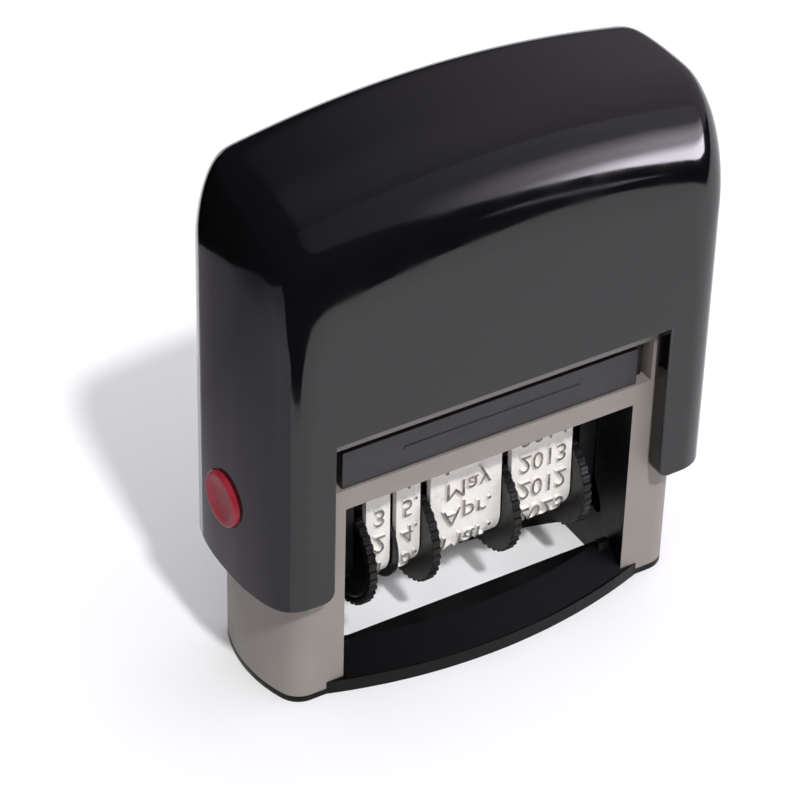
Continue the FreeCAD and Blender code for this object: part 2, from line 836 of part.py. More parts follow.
band_face = band_outline(inner=False).cut(band_outline(inner=True))
left = f"-{ROW_WIDTH} / 2"
left_size = -(
    2 * size["day_width"]
    + size["month_width"]
    + size["year_width"]
    + 4 * size["flange_thickness"]
    + size["separator_thickness"]
    + 4 * size["wheel_gap"]
) / 2
for name, (width, flange_side) in WHEELS.items():
    wheel = setting_wheel(name, width, flange_side)
    node(f"{name}_wheel", placed(wheel, left, "0", AXLE_HEIGHT))
    drum_start = left_size + (size["flange_thickness"] if flange_side < 0 else 0.0)
    band = band_face.extrude(Vector(size[width] - 2 * size["wheel_gap"], 0, 0))
    band.translate(Vector(drum_start + size["wheel_gap"], 0, 0))
    node(f"{name}_band", computed(f"{name}_loop", band))
    left = f"{left} + {width} + flange_thickness + wheel_gap"
    left_size += size[width] + size["flange_thickness"] + size["wheel_gap"]
    if name == "day_tens":
        separator_span = (left, f"{left} + separator_thickness")
        disc = crosswise("separator_disc", "separator_radius", separator_span, "0", AXLE_HEIGHT)
        hole = crosswise("separator_hole", "axle_radius", separator_span, "0", AXLE_HEIGHT)
        node("day_separator", cut("separator", disc, hole))
        left = f"{left} + separator_thickness + wheel_gap"
        left_size += size["separator_thickness"] + size["wheel_gap"]

# Lock buttons and the leaf springs behind them

for side, sign in SIDES.items():
    cap = crosswise(
        f"button_cap_{side}",
        "button_radius",
        mirrored(sign, LEAF_FACE, "cover_length / 2 + button_proud"),
        "0",
        "button_height",
    )
    flange = crosswise(
        f"button_flange_disc_{side}",
        "button_flange",
        mirrored(sign, LEAF_FACE, FLANGE_FACE),
        "0",
        "button_height",
    )
    peg = crosswise(
        f"button_peg_{side}",
        "button_pin",
        mirrored(sign, "cover_length / 2 - cover_wall", LEAF_FACE),
        "0",
        "button_height",
    )
    node(f"lock_button_{side}", fused(f"button_{side}", cap, flange, peg))
    strip = box(
        f"leaf_strip_{side}",
        mirrored(sign, f"{LEAF_FACE} - leaf_thickness", LEAF_FACE),
        both_ways("leaf_width / 2"),
        ("button_height - button_pin - leaf_thickness", "leaf_top"),
    )
    eye = crosswise(
        f"leaf_eye_{side}",
        "button_pin + button_clearance",
        mirrored(sign, f"{LEAF_FACE} - 1", f"{LEAF_FACE} + 1"),
        "0",
        "button_height",
    )
    node(f"lock_spring_{side}", cut(f"leaf_{side}", strip, eye))

# Check every object, then write each sub-part to its own file

doc.recompute()
for item in doc.Objects:
    if "Invalid" in item.State or "Error" in item.State:
        raise RuntimeError(f"{item.Name} failed: {item.State}")
os.makedirs("parts", exist_ok=True)
for piece in nodes:
    shape = piece.Shape
    if shape.isNull() or not shape.isValid():
        raise RuntimeError(f"{piece.Label} has no valid shape")
    print(piece.Label, "solids", len(shape.Solids), "volume", round(shape.Volume, 1))
for piece in nodes:
    piece.Shape.exportStep(f"parts/{piece.Label}.step")
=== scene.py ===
import math

import bmesh
import bpy
from mathutils import Matrix, Vector


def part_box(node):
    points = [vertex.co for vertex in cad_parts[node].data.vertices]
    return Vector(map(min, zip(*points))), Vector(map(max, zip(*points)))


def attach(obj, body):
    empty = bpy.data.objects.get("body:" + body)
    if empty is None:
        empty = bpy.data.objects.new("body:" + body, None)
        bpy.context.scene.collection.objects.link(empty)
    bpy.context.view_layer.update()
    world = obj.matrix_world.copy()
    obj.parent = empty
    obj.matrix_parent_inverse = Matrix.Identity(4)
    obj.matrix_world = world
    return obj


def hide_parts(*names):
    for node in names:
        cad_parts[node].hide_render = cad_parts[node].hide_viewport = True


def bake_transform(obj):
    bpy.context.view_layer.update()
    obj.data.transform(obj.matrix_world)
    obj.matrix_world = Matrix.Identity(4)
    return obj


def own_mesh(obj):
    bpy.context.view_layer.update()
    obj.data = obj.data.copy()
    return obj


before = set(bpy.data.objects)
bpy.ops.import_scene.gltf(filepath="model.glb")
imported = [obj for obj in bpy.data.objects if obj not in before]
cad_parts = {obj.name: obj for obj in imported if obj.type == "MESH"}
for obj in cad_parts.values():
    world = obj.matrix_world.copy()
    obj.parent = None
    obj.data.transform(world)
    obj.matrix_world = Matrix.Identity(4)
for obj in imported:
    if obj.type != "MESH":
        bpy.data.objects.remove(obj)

# A self-inking date stamp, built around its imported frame. Sizes below are millimetres and MM
# turns them to metres. +Z is up, X runs along the stamp and its front faces -Y.

MM = 0.001
FRONT, BACK = Vector((0, -1, 0)), Vector((0, 1, 0))
LEFT, RIGHT = Vector((-1, 0, 0)), Vector((1, 0, 0))
DOWN, UP = Vector((0, 0, -1)), Vector((0, 0, 1))
SIDES = {"left": -1, "right": 1}
# Further out than any face of the stamp: a tool that cuts right through reaches this far
FAR = 40

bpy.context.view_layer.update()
bpy.ops.object.select_all(action="DESELECT")
scene = bpy.context.scene
scene.view_settings.view_transform = "Standard"


# Camera, at the photograph's angle

PICTURE_WIDTH = 800
FOCAL_PIXELS = 3500
SENSOR_WIDTH = 36
# How far the camera is turned left of the front, raised and tilted, in degrees
CAMERA_ANGLES = (32.07, 37.67, 1.6)
CAMERA_TARGET = (-6.94, 0, 30.07)
CAMERA_DISTANCE = 373.4


def set_camera():
    """A camera that looks down at the stamp's front from its left, as in the photograph."""
    turn, height, roll = (math.radians(angle) for angle in CAMERA_ANGLES)
    back = Vector(
        (
            -math.sin(turn) * math.cos(height),
            -math.cos(turn) * math.cos(height),
            math.sin(height),
        )
    )
    level = Vector((math.cos(turn), -math.sin(turn), 0))
    rise = back.cross(level)
    across = math.cos(roll) * level + math.sin(roll) * rise
    upright = math.cos(roll) * rise - math.sin(roll) * level
    lens = bpy.data.cameras.new("camera")
    lens.sensor_width = SENSOR_WIDTH
    lens.sensor_fit = "HORIZONTAL"
    lens.lens = FOCAL_PIXELS * SENSOR_WIDTH / PICTURE_WIDTH
    camera = bpy.data.objects.new("camera", lens)
    scene.collection.objects.link(camera)
    place = Matrix((across, upright, back)).transposed().to_4x4()
    place.translation = (Vector(CAMERA_TARGET) + back * CAMERA_DISTANCE) * MM
    camera.matrix_world = place
    scene.camera = camera


set_camera()


# Materials


def linear(code):
    """An sRGB hex colour as Blender's linear colour."""
    parts = [int(code[start : start + 2], 16) / 255 for start in (1, 3, 5)]
    bent = [part / 12.92 if part <= 0.04045 else ((part + 0.055) / 1.055) ** 2.4 for part in parts]
    return (*bent, 1.0)


def add(tree, kind, sockets=None, **settings):
    """One node with its settings. A socket takes a value or another node's output."""
    new = tree.nodes.new(kind)
    for name, value in settings.items():
        setattr(new, name, value)
    for name, value in (sockets or {}).items():
        if isinstance(value, bpy.types.NodeSocket):
            tree.links.new(value, new.inputs[name])
        else:
            new.inputs[name].default_value = value
    return new


def empty_material(name):
    """A material without a node, and its tree."""
    material = bpy.data.materials.new(name)
    material.use_nodes = True
    material.node_tree.nodes.clear()
    return material, material.node_tree


def started_material(name):
    """A material, its tree and the piece's own coordinates."""
    material, tree = empty_material(name)
    return material, tree, add(tree, "ShaderNodeTexCoord").outputs["Object"]


def per_mm(length):
    """The scale of a pattern whose marks repeat at that many millimetres."""
    return 1 / (length * MM)


def speckle(tree, place, length, detail=2.0, roughness=0.5):
    """Noise whose spots are about that many millimetres wide."""
    sockets = {
        "Vector": place,
        "Scale": per_mm(length),
        "Detail": detail,
        "Roughness": roughness,
    }
    return add(tree, "ShaderNodeTexNoise", sockets).outputs["Fac"]


def spread(tree, value, low, high, new_low, new_high):
    """The value moved from one span to another."""
    sockets = {
        "Value": value,
        "From Min": low,
        "From Max": high,
        "To Min": new_low,
        "To Max": new_high,
    }
    return add(tree, "ShaderNodeMapRange", sockets).outputs["Result"]


def blended(tree, share, first, second):
    """Two colours mixed by a share. A Mix node's colours are its sockets 6, 7 and, out, 2."""
    return add(tree, "ShaderNodeMix", {0: share, 6: first, 7: second}, data_type="RGBA").outputs[2]


def joined(tree, operation, first, second):
    """Two values joined by an operation."""
    return add(tree, "ShaderNodeMath", {0: first, 1: second}, operation=operation).outputs[0]


def finished(tree, sockets):
    """The surface's own shader, linked to the material's output."""
    shader = add(tree, "ShaderNodeBsdfPrincipled", sockets)
    add(tree, "ShaderNodeOutputMaterial", {"Surface": shader.outputs["BSDF"]})


def relief(tree, height, depth, strength=1.0):
    """Bumps of a depth in millimetres."""
    sockets = {"Height": height, "Distance": depth * MM, "Strength": strength}
    return add(tree, "ShaderNodeBump", sockets).outputs["Normal"]


def polished_abs():
    """Injection-moulded ABS from a polished mould: deep black, a mirror sheen, faint waviness."""
    material, tree, place = started_material("polished_black_abs")
    wave = relief(tree, speckle(tree, place, 9.0, 1.0), 0.02)
    handled = spread(tree, speckle(tree, place, 4.0, 4.0, 0.6), 0.35, 0.7, 0.06, 0.13)
    tint = blended(tree, speckle(tree, place, 14.0), linear("#0b0a0c"), linear("#100f11"))
    finished(tree, {"Base Color": tint, "Roughness": handled, "IOR": 1.52, "Normal": wave})
    return material


def textured_abs():
    """Warm grey ABS from a spark-eroded mould: matte, with an even fine grain."""
    material, tree, place = started_material("textured_grey_abs")
    grain = relief(tree, speckle(tree, place, 0.22, 3.0), 0.02, 0.7)
    shade = blended(tree, speckle(tree, place, 6.0, 3.0), linear("#8f8882"), linear("#9b948e"))
    rough = spread(tree, speckle(tree, place, 1.5, 3.0), 0.3, 0.7, 0.46, 0.58)
    finished(tree, {"Base Color": shade, "Roughness": rough, "IOR": 1.5, "Normal": grain})
    return material


def satin_black(name, dark, light, low, high, grain_size, gleam=0.5):
    """Black moulded plastic whose satin skin softens every reflection. Gleam is how much."""
    material, tree, place = started_material(name)
    grain = relief(tree, speckle(tree, place, grain_size, 3.0), 0.012, 0.6)
    shade = blended(tree, speckle(tree, place, 3.0, 3.0), linear(dark), linear(light))
    rough = spread(tree, speckle(tree, place, 1.2, 3.0), 0.3, 0.7, low, high)
    sockets = {"Base Color": shade, "Roughness": rough, "IOR": 1.5, "Normal": grain}
    finished(tree, {**sockets, "Specular IOR Level": gleam})
    return material


def moulded_red():
    """Glossy red ABS of the push buttons: a clear colour with small rub marks."""
    material, tree, place = started_material("moulded_red_abs")
    shade = blended(tree, speckle(tree, place, 1.5, 3.0), linear("#93202f"), linear("#a62c3c"))
    rough = spread(tree, speckle(tree, place, 0.8, 4.0), 0.3, 0.7, 0.24, 0.4)
    dents = relief(tree, speckle(tree, place, 1.1), 0.01, 0.5)
    finished(tree, {"Base Color": shade, "Roughness": rough, "IOR": 1.52, "Normal": dents})
    return material


def ivory_rubber():
    """Vulcanised date rubber: white and dull, with a little old ink drawn into its surface."""
    material, tree, place = started_material("ivory_date_rubber")
    stain = spread(tree, speckle(tree, place, 1.1, 5.0, 0.65), 0.56, 0.8, 0.0, 0.4)
    shade = blended(tree, stain, linear("#fbf8f3"), linear("#b9b3ae"))
    skin = relief(tree, speckle(tree, place, 0.18, 3.0), 0.015, 0.6)
    sockets = {"Base Color": shade, "Roughness": 0.62, "IOR": 1.47, "Normal": skin}
    finished(tree, sockets)
    return material


def inked_rubber():
    """The same rubber on the raised characters, worn grey by the ink they carry."""
    material, tree, place = started_material("inked_type_rubber")
    worn = spread(tree, speckle(tree, place, 0.7, 4.0, 0.6), 0.35, 0.65, 0.0, 1.0)
    shade = blended(tree, worn, linear("#4b484d"), linear("#a19b97"))
    skin = relief(tree, speckle(tree, place, 0.18, 3.0), 0.015, 0.6)
    sockets = {"Base Color": shade, "Roughness": 0.5, "IOR": 1.47, "Normal": skin}
    finished(tree, sockets)
    return material


def drawn_steel(name, colour, low, high):
    """Drawn or ground steel: bright, with fine marks and a soft metal gleam."""
    material, tree, place = started_material(name)
    rough = spread(tree, speckle(tree, place, 0.5, 4.0), 0.3, 0.7, low, high)
    marks = relief(tree, speckle(tree, place, 0.12), 0.005, 0.5)
    shade = blended(tree, speckle(tree, place, 2.0), linear(colour), linear("#8d8d90"))
    finished(tree, {"Base Color": shade, "Metallic": 1.0, "Roughness": rough, "Normal": marks})
    return material


def soaked_felt():
    """Wool felt soaked in black ink: fibres matted flat, dull with wet glints."""
    material, tree, place = started_material("ink_soaked_felt")
    fibre = speckle(tree, place, 0.16, 6.0, 0.7)
    nap = relief(tree, fibre, 0.12, 0.9)
    shade = blended(tree, fibre, linear("#0e0d14"), linear("#2b2833"))
    rough = spread(tree, speckle(tree, place, 1.4, 3.0), 0.35, 0.7, 0.55, 0.95)
    finished(tree, {"Base Color": shade, "Roughness": rough, "IOR": 1.4, "Normal": nap})
    return material


GLOSS_BLACK = polished_abs()
WARM_GREY = textured_abs()
FOOT_BLACK = satin_black("satin_black_abs", "#08080a", "#0d0d0f", 0.3, 0.42, 0.3, 0.16)
GUIDE_BLACK = satin_black("guide_black_acetal", "#09090a", "#0e0e0f", 0.34, 0.46, 0.4, 0.2)
TRAY_BLACK = satin_black("tray_black_polypropylene", "#242125", "#2c292d", 0.36, 0.48, 0.3)
YOKE_BLACK = satin_black("yoke_black_abs", "#2b2b2d", "#343436", 0.42, 0.55, 0.3)
WHEEL_BLACK = satin_black("wheel_black_acetal", "#0b0b0d", "#121214", 0.26, 0.4, 0.35, 0.3)
BUTTON_RED = moulded_red()
IVORY = ivory_rubber()
INKED = inked_rubber()
SPRING_STEEL = drawn_steel("drawn_spring_steel", "#b9b9bc", 0.22, 0.36)
PIN_STEEL = drawn_steel("ground_pin_steel", "#c9c9cb", 0.16, 0.28)
FELT = soaked_felt()


# Floor and lights, in metres and watts

FLOOR_SIZE = 4
FLOOR_LIFT = 0.1
WHITE, BLACK = (1, 1, 1, 1), (0, 0, 0, 1)


def white_floor():
    """A matte white table. What the camera or a gloss sees of it is lifted to white."""
    bpy.ops.mesh.primitive_plane_add(size=FLOOR_SIZE)
    floor = bpy.context.object
    floor.name = "floor"
    material, tree = empty_material("matte_white_table")
    paths = add(tree, "ShaderNodeLightPath").outputs
    seen = joined(tree, "MAXIMUM", paths["Is Camera Ray"], paths["Is Glossy Ray"])
    seen = joined(tree, "MAXIMUM", seen, paths["Is Transmission Ray"])
    sockets = {
        "Base Color": linear("#f2f2f4"),
        "Roughness": 1.0,
        "Specular IOR Level": 0.0,
        "Emission Color": WHITE,
        "Emission Strength": joined(tree, "MULTIPLY", seen, FLOOR_LIFT),
    }
    finished(tree, sockets)
    floor.data.materials.append(material)


LAMP_TARGET = (0, 0, 30)


def lamp(name, kind, direction, distance, energy, size):
    """A lamp that looks at the middle of the stamp from a direction and isn't mirrored in it."""
    light = bpy.data.lights.new(name, kind)
    light.energy = energy
    if kind == "AREA":
        light.shape = "RECTANGLE"
        light.size, light.size_y = size
    else:
        light.angle = math.radians(size)
    holder = bpy.data.objects.new(name, light)
    scene.collection.objects.link(holder)
    away = Vector(direction).normalized()
    holder.location = away * distance + Vector(LAMP_TARGET) * MM
    holder.rotation_euler = away.to_track_quat("Z", "Y").to_euler()
    holder.visible_glossy = False


# Where the room is lightest
ROOM_LIGHT = (1.15, -0.05, 0.58)


def studio_world():
    """A dim room, nearly black low in front of the stamp and lighter high on its right."""
    world = bpy.data.worlds.new("studio")
    scene.world = world
    world.use_nodes = True
    tree = world.node_tree
    surround = tree.nodes["Background"]
    surround.inputs["Color"].default_value = linear("#ebe3f2")
    way = add(tree, "ShaderNodeTexCoord").outputs["Generated"]
    sockets = {0: way, 1: ROOM_LIGHT}
    side = add(tree, "ShaderNodeVectorMath", sockets, operation="DOT_PRODUCT").outputs["Value"]
    tree.links.new(spread(tree, side, 0.5, 1.2, 0.02, 0.76), surround.inputs["Strength"])


def card(name, corners, material):
    """A studio card that only a gloss sees, as it stands beside a shiny thing in a studio."""
    mesh = bpy.data.meshes.new(name)
    mesh.from_pydata([Vector(corner) * MM for corner in corners], [], [range(len(corners))])
    sheet = bpy.data.objects.new(name, mesh)
    scene.collection.objects.link(sheet)
    mesh.materials.append(material)
    sheet.visible_camera = sheet.visible_diffuse = sheet.visible_shadow = False


def black_paper():
    """Black card that gives nothing back."""
    material, tree = empty_material("black_card")
    finished(tree, {"Base Color": BLACK, "Roughness": 1.0, "Specular IOR Level": 0.0})
    return material


def glowing(name, power):
    """A glowing face, its power worked out from its place: a lamp, or a card glowing with painted
    light.
    """
    material, tree, place = started_material(name)
    where = add(tree, "ShaderNodeSeparateXYZ", {0: place}).outputs
    sockets = {"Base Color": BLACK, "Emission Color": linear("#f0eaf5")}
    finished(tree, {**sockets, "Emission Strength": power(tree, where)})
    return material


def table_glow_power(tree, where):
    """Painted light: the glow of the table as the cover mirrors it, lighter towards the front and
    darker at its far end.
    """
    near = spread(tree, where["X"], -0.2, -0.09, 0.5, 1.0)
    front = spread(tree, where["Y"], -0.02, 0.05, 0.85, 0.27)
    return joined(tree, "MULTIPLY", near, front)


def streak_power(tree, where):
    """A narrow card: its reflection is the thin line inside the dark band."""
    return spread(tree, where["X"], 0.115, 0.125, 0.9, 1.5)


# The bright parts of the soft lamp: where each begins and ends upwards, and to the right, in
# metres, and its most power
SILK_STRIPS = ((0.078, 0.114, 0.045, 0.13, 4.4), (0.042, 0.060, 0.07, 0.105, 12.5))


def silk_power(tree, where):
    """A soft lamp: a plain glow, a brighter middle and a bright strip at its foot."""
    power = spread(tree, where["X"], -0.03, 0.14, 0.02, 0.85)
    for low, high, left, right, most in SILK_STRIPS:
        height = spread(tree, where["Z"], high, low, 0.0, 1.0)
        reach = spread(tree, where["X"], left, right, 0.0, most)
        power = joined(tree, "ADD", power, joined(tree, "MULTIPLY", height, reach))
    return power


# The cards' corners, in millimetres: the first two and the streak lie just over the table,
# and the dark one's edge is where the cover's front turns black. The lamp stands in front.
DARK_HEIGHT, CARD_HEIGHT, LAMP_FRONT = 0.3, 0.4, -150
DARK_CARD = (
    (-28, -12), (-28, 2500), (-2500, 2500), (-2500, -2500), (2500, -2500), (2500, -200),
    (400, -70), (112, -70), (102, -90), (97, -110), (94, -135), (80, -133), (57, -120),
    (39, -112), (27, -106), (-8, -99), (-18, -82), (-30, -66), (-57, -59),
)
# This card's glow is painted light: the lit table as the cover mirrors it.
TABLE_GLOW_CARD = (
    (-28, -12), (-28, 84), (-85, 82), (-125, 72), (-200, 45), (-235, -20), (-330, -190),
    (-190, -142), (-57, -59),
)
STREAK = ((115, -172), (119, -215), (124, -262), (138, -262), (130, -172))
SOFT_LAMP = (
    (20, 95), (43, 76), (55, 62), (65, 56), (86, 45), (102, 38), (118, 29), (134, 19),
    (165, 7), (215, 2), (225, 60), (240, 200), (-40, 200), (-40, 137),
)


def lying(corners, height):
    """The corners of a card that lies flat at a height."""
    return [(x, y, height) for x, y in corners]


def set_lights():
    """The room, a hard key light, a soft one overhead, and what the gloss mirrors."""
    studio_world()
    lamp("key", "SUN", direction=(-0.08, -0.6, 0.79), distance=1.0, energy=1.95, size=4.0)
    lamp("overhead", "AREA", direction=UP, distance=1.1, energy=9.5, size=(1.6, 1.6))
    card("dark_card", lying(DARK_CARD, DARK_HEIGHT), black_paper())
    # A sheet whose glow is painted light, the lit table seen in the cover's gloss
    card("table_glow_card", lying(TABLE_GLOW_CARD, CARD_HEIGHT), glowing("table_glow_card", table_glow_power))
    card("streak", lying(STREAK, CARD_HEIGHT), glowing("streak_card", streak_power))
    standing = [(x, LAMP_FRONT, z) for x, z in SOFT_LAMP]
    card("soft_lamp", standing, glowing("lit_silk", silk_power))


white_floor()
set_lights()


# Shaping by hand: each of these is one step on one piece


def leave_editing():
    """Goes back to object mode, if a piece is still being edited."""
    if bpy.context.object and bpy.context.object.mode == "EDIT":
        bpy.ops.object.mode_set(mode="OBJECT")


def only(piece):
    """Leaves edit mode and makes the piece the only one selected."""
    leave_editing()
    bpy.ops.object.select_all(action="DESELECT")
    piece.select_set(True)
    bpy.context.view_layer.objects.active = piece


def settled(name):
    """Names the new piece and puts its place in its mesh."""
    piece = bpy.context.object
    piece.name = name
    piece.data.name = name
    bpy.ops.object.transform_apply(location=True, rotation=True, scale=True)
    return piece


def block(name, low, high):
    """A box between two corners."""
    leave_editing()
    low, high = Vector(low) * MM, Vector(high) * MM
    bpy.ops.mesh.primitive_cube_add(size=1, location=(low + high) / 2, scale=high - low)
    return settled(name)


def rod(name, radius, start, end, sides=64):
    """A cylinder from one point to another."""
    leave_editing()
    start, end = Vector(start) * MM, Vector(end) * MM
    along = end - start
    bpy.ops.mesh.primitive_cylinder_add(
        vertices=sides,
        radius=radius * MM,
        depth=along.length,
        location=(start + end) / 2,
        rotation=along.to_track_quat("Z", "Y").to_euler(),
    )
    return settled(name)


def middle(item):
    """The middle of a corner, an edge or a face, in millimetres."""
    if isinstance(item, bmesh.types.BMVert):
        return item.co / MM
    return sum((corner.co for corner in item.verts), Vector()) / len(item.verts) / MM


def pick(piece, kind, test):
    """Opens the piece in edit mode with only the corners, edges or faces that pass selected."""
    only(piece)
    bpy.ops.object.mode_set(mode="EDIT")
    bpy.ops.mesh.select_mode(type=kind)
    bpy.ops.mesh.select_all(action="DESELECT")
    mesh = bmesh.from_edit_mesh(piece.data)
    mesh.normal_update()
    items = {"VERT": mesh.verts, "EDGE": mesh.edges, "FACE": mesh.faces}[kind]
    for item in [item for item in items if test(item)]:
        item.select_set(True)
    bmesh.update_edit_mesh(piece.data)


def anything(item):
    """A test that all corners, edges and faces pass."""
    return True


def facing(direction):
    """A test for the faces that look along a direction, within eight degrees."""
    return lambda face: face.normal.dot(direction) > 0.99


def lies_along(edge, direction):
    """Whether an edge runs along a direction, within three degrees."""
    run = (edge.verts[1].co - edge.verts[0].co).normalized()
    return abs(run.dot(direction)) > 0.999


def side_span(sign, near, far):
    """The left and right end of a span on one side of the middle."""
    return sorted((sign * near, sign * far))


def trim(piece, point, direction):
    """Cuts off everything beyond a plane."""
    pick(piece, "FACE", anything)
    bpy.ops.mesh.bisect(
        plane_co=Vector(point) * MM, plane_no=direction, use_fill=True, clear_outer=True
    )


def score(piece, test, point, direction):
    """Draws a line across the faces that pass, where a plane meets them."""
    pick(piece, "FACE", test)
    bpy.ops.mesh.bisect(plane_co=Vector(point) * MM, plane_no=direction)


def remove(piece, test):
    """Opens the piece where faces pass the test."""
    pick(piece, "FACE", test)
    bpy.ops.mesh.delete(type="FACE")


def pull(direction, length):
    """Draws the selected faces out by a length, or in by a negative one."""
    step = Vector(direction) * length * MM
    bpy.ops.mesh.extrude_region_move(TRANSFORM_OT_translate={"value": step})


def shrink(factors, centre):
    """Scales what is selected about a point."""
    bpy.ops.transform.resize(value=factors, center_override=Vector(centre) * MM)


def turn_edges(piece, test, radius, segments):
    """Rounds the edges that pass the test."""
    pick(piece, "EDGE", test)
    bpy.ops.mesh.bevel(offset=radius * MM, segments=segments, affect="EDGES")


def apply(piece, kind, **settings):
    """Adds a modifier and applies it."""
    only(piece)
    modifier = piece.modifiers.new(kind.lower(), kind)
    for name, value in settings.items():
        setattr(modifier, name, value)
    bpy.ops.object.modifier_apply(modifier=modifier.name)


def carve(piece, *tools):
    """Takes each tool's volume out of the piece."""
    for tool in tools:
        apply(piece, "BOOLEAN", operation="DIFFERENCE", solver="EXACT", object=tool)
        bpy.data.objects.remove(tool)


def weld(piece, *others):
    """Makes the piece one body with the others."""
    for other in others:
        apply(piece, "BOOLEAN", operation="UNION", solver="EXACT", object=other)
        bpy.data.objects.remove(other)


def wall(piece, thickness):
    """Gives an open skin a wall, inwards."""
    apply(piece, "SOLIDIFY", thickness=thickness * MM, offset=-1, use_even_offset=True)


def soften(piece, width, segments=2, angle=40):
    """Breaks every sharp edge, as a mould does."""
    apply(
        piece,
        "BEVEL",
        width=width * MM,
        segments=segments,
        limit_method="ANGLE",
        angle_limit=math.radians(angle),
        use_clamp_overlap=True,
    )


def flatten_out(piece, test=anything, angle=0.05):
    """Makes each flat region one face, so that a cut through it leaves no slivers."""
    pick(piece, "FACE", test)
    bpy.ops.mesh.dissolve_limited(angle_limit=math.radians(angle))


def merge(piece, reach=0.002):
    """Joins corners that lie nearer than the reach."""
    pick(piece, "FACE", anything)
    bpy.ops.mesh.remove_doubles(threshold=reach * MM)


def put_in_order(piece):
    """Lists the faces by place, the farthest first: growing a region leaves them in any order."""
    leave_editing()
    mesh = piece.data
    places = [corner.co.copy() for corner in mesh.vertices]
    faces = [list(face.vertices) for face in mesh.polygons]
    firsts = [face.index(min(face)) for face in faces]
    faces = [face[first:] + face[:first] for face, first in zip(faces, firsts)]

    def place(face):
        """A face's middle as whole thousandths of a millimetre, after its distance."""
        centre = sum((places[corner] for corner in face), Vector()) / len(face)
        return [round(value * 1e6) for value in (-centre.length, *centre)]

    mesh.clear_geometry()
    mesh.from_pydata(places, [], sorted(faces, key=place))


def outwards(piece):
    """Closes seams and turns every face outwards."""
    merge(piece)
    bpy.ops.mesh.normals_make_consistent(inside=False)


def finish(piece, material, slot, body, *replaced, angle=35):
    """Smooth shading, the material, and what the piece rides on and stands for."""
    only(piece)
    bpy.ops.object.shade_smooth_by_angle(angle=math.radians(angle))
    apply(piece, "WEIGHTED_NORMAL", keep_sharp=True)
    if not piece.data.materials:
        piece.data.materials.append(material)
    if body:
        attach(piece, body)
    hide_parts(*replaced)


# Outer cover

CROWN_RADIUS = 124.0
COVER_WALL = 2.1
# The shoulders are rounded on a squashed form, so that they come out taller than wide
SHOULDER_WIDTH = 3.8
SHOULDER_SQUASH = 0.38
# How far each ring stands out from the middle, its half length and its drop from the crown
BACK_RINGS = (
    (2.0, 28.45, 0.0),
    (4.0, 28.25, 0.0),
    (5.6, 27.98, 0.0),
    (7.0, 27.60, 0.3),
    (8.2, 27.10, 1.1),
    (9.1, 26.50, 2.2),
    (9.7, 25.75, 3.4),
    (10.1, 24.80, 4.8),
    (10.3, 23.60, 6.4),
)
FRONT_RINGS = (
    (2.0, 28.45, 0.0),
    (3.2, 28.36, 0.1),
    (4.5, 28.20, 0.45),
    (6.0, 27.92, 1.25),
    (7.2, 27.60, 2.35),
    (8.2, 27.20, 3.8),
    (9.0, 26.70, 5.4),
    (9.6, 26.05, 7.2),
    (10.0, 25.20, 9.0),
    (10.2, 24.40, 10.6),
    (10.3, 23.60, 12.2),
)
# The share of its size that the flat front keeps at each line drawn inside its border
INNER_LINES = (0.97, 0.92, 0.8)
CUT_OUT_HALF = 20.7
CUT_OUT_TOP = 35.9
# The flat front and back: how far they reach to each side and up, and the most degrees by
# which the faces in them may differ
PLATE_HALF = 23.0
PLATE_TOP = 42.0
PLATE_BEND = 2
LEG_ROUND = 1.3
RIM_ROUND = 0.25
BUTTON_HEIGHT = 25.2
BUTTON_FIT = 3.3
SEAT_RADIUS = 4.3
# What is left of the wall outside the seat of a button's flange
SEAT_SKIN = 1.0
# The channel that a leaf spring lies in, measured inwards from the seat
CHANNEL_NEAR, CHANNEL_FAR = 0.5, 4.0
CHANNEL_HALF = 1.6
CHANNEL_TOP = 38.1


def cover_skin(low, high):
    """The closed form of the cover, before it has a wall."""
    half, bottom, top = high.x / MM, low.z / MM, high.z / MM
    hub = top - CROWN_RADIUS
    core = FRONT_RINGS[0][0]
    skin = rod("cover_shell", CROWN_RADIUS, (0, -core, hub), (0, core, hub), sides=132)
    trim(skin, (half, 0, 0), RIGHT)
    trim(skin, (-half, 0, 0), LEFT)
    trim(skin, (0, 0, bottom), DOWN)
    pick(skin, "FACE", anything)
    shrink((1, 1, SHOULDER_SQUASH), (0, 0, bottom))
    turn_edges(
        skin,
        lambda edge: lies_along(edge, FRONT)
        and abs(middle(edge).x) > half - 0.1
        and middle(edge).z > bottom + 1,
        SHOULDER_WIDTH,
        8,
    )
    pick(skin, "FACE", anything)
    shrink((1, 1, 1 / SHOULDER_SQUASH), (0, 0, bottom))
    for outer, rings in ((BACK, BACK_RINGS), (FRONT, FRONT_RINGS)):
        pick(skin, "FACE", facing(outer))
        for (reach, length, drop), (next_reach, next_length, next_drop) in zip(rings, rings[1:]):
            pull(outer, next_reach - reach)
            lower = (top - next_drop - bottom) / (top - drop - bottom)
            shrink((next_length / length, 1, lower), (0, 0, bottom))
        for factor in INNER_LINES:
            bpy.ops.mesh.extrude_region_move()
            shrink((factor, 1, factor), (0, 0, (bottom + top) / 2))
    remove(skin, lambda face: face.normal.z < -0.99 and middle(face).z < bottom + 0.1)
    outwards(skin)
    put_in_order(skin)
    apply(skin, "SUBSURF", levels=2, render_levels=2)
    return skin


def on_the_rim(edge):
    """Whether a sharp edge borders the outside of the cover."""
    outside = [face.normal.xy.dot(face.calc_center_median().xy) > MM for face in edge.link_faces]
    return edge.calc_face_angle(0) > 0.7 and any(outside)


def on_a_plate(face):
    """Whether a face is part of the nearly flat front or back beside the cut-out."""
    place = middle(face)
    return abs(face.normal.y) > 0.999 and abs(place.x) < PLATE_HALF and place.z < PLATE_TOP


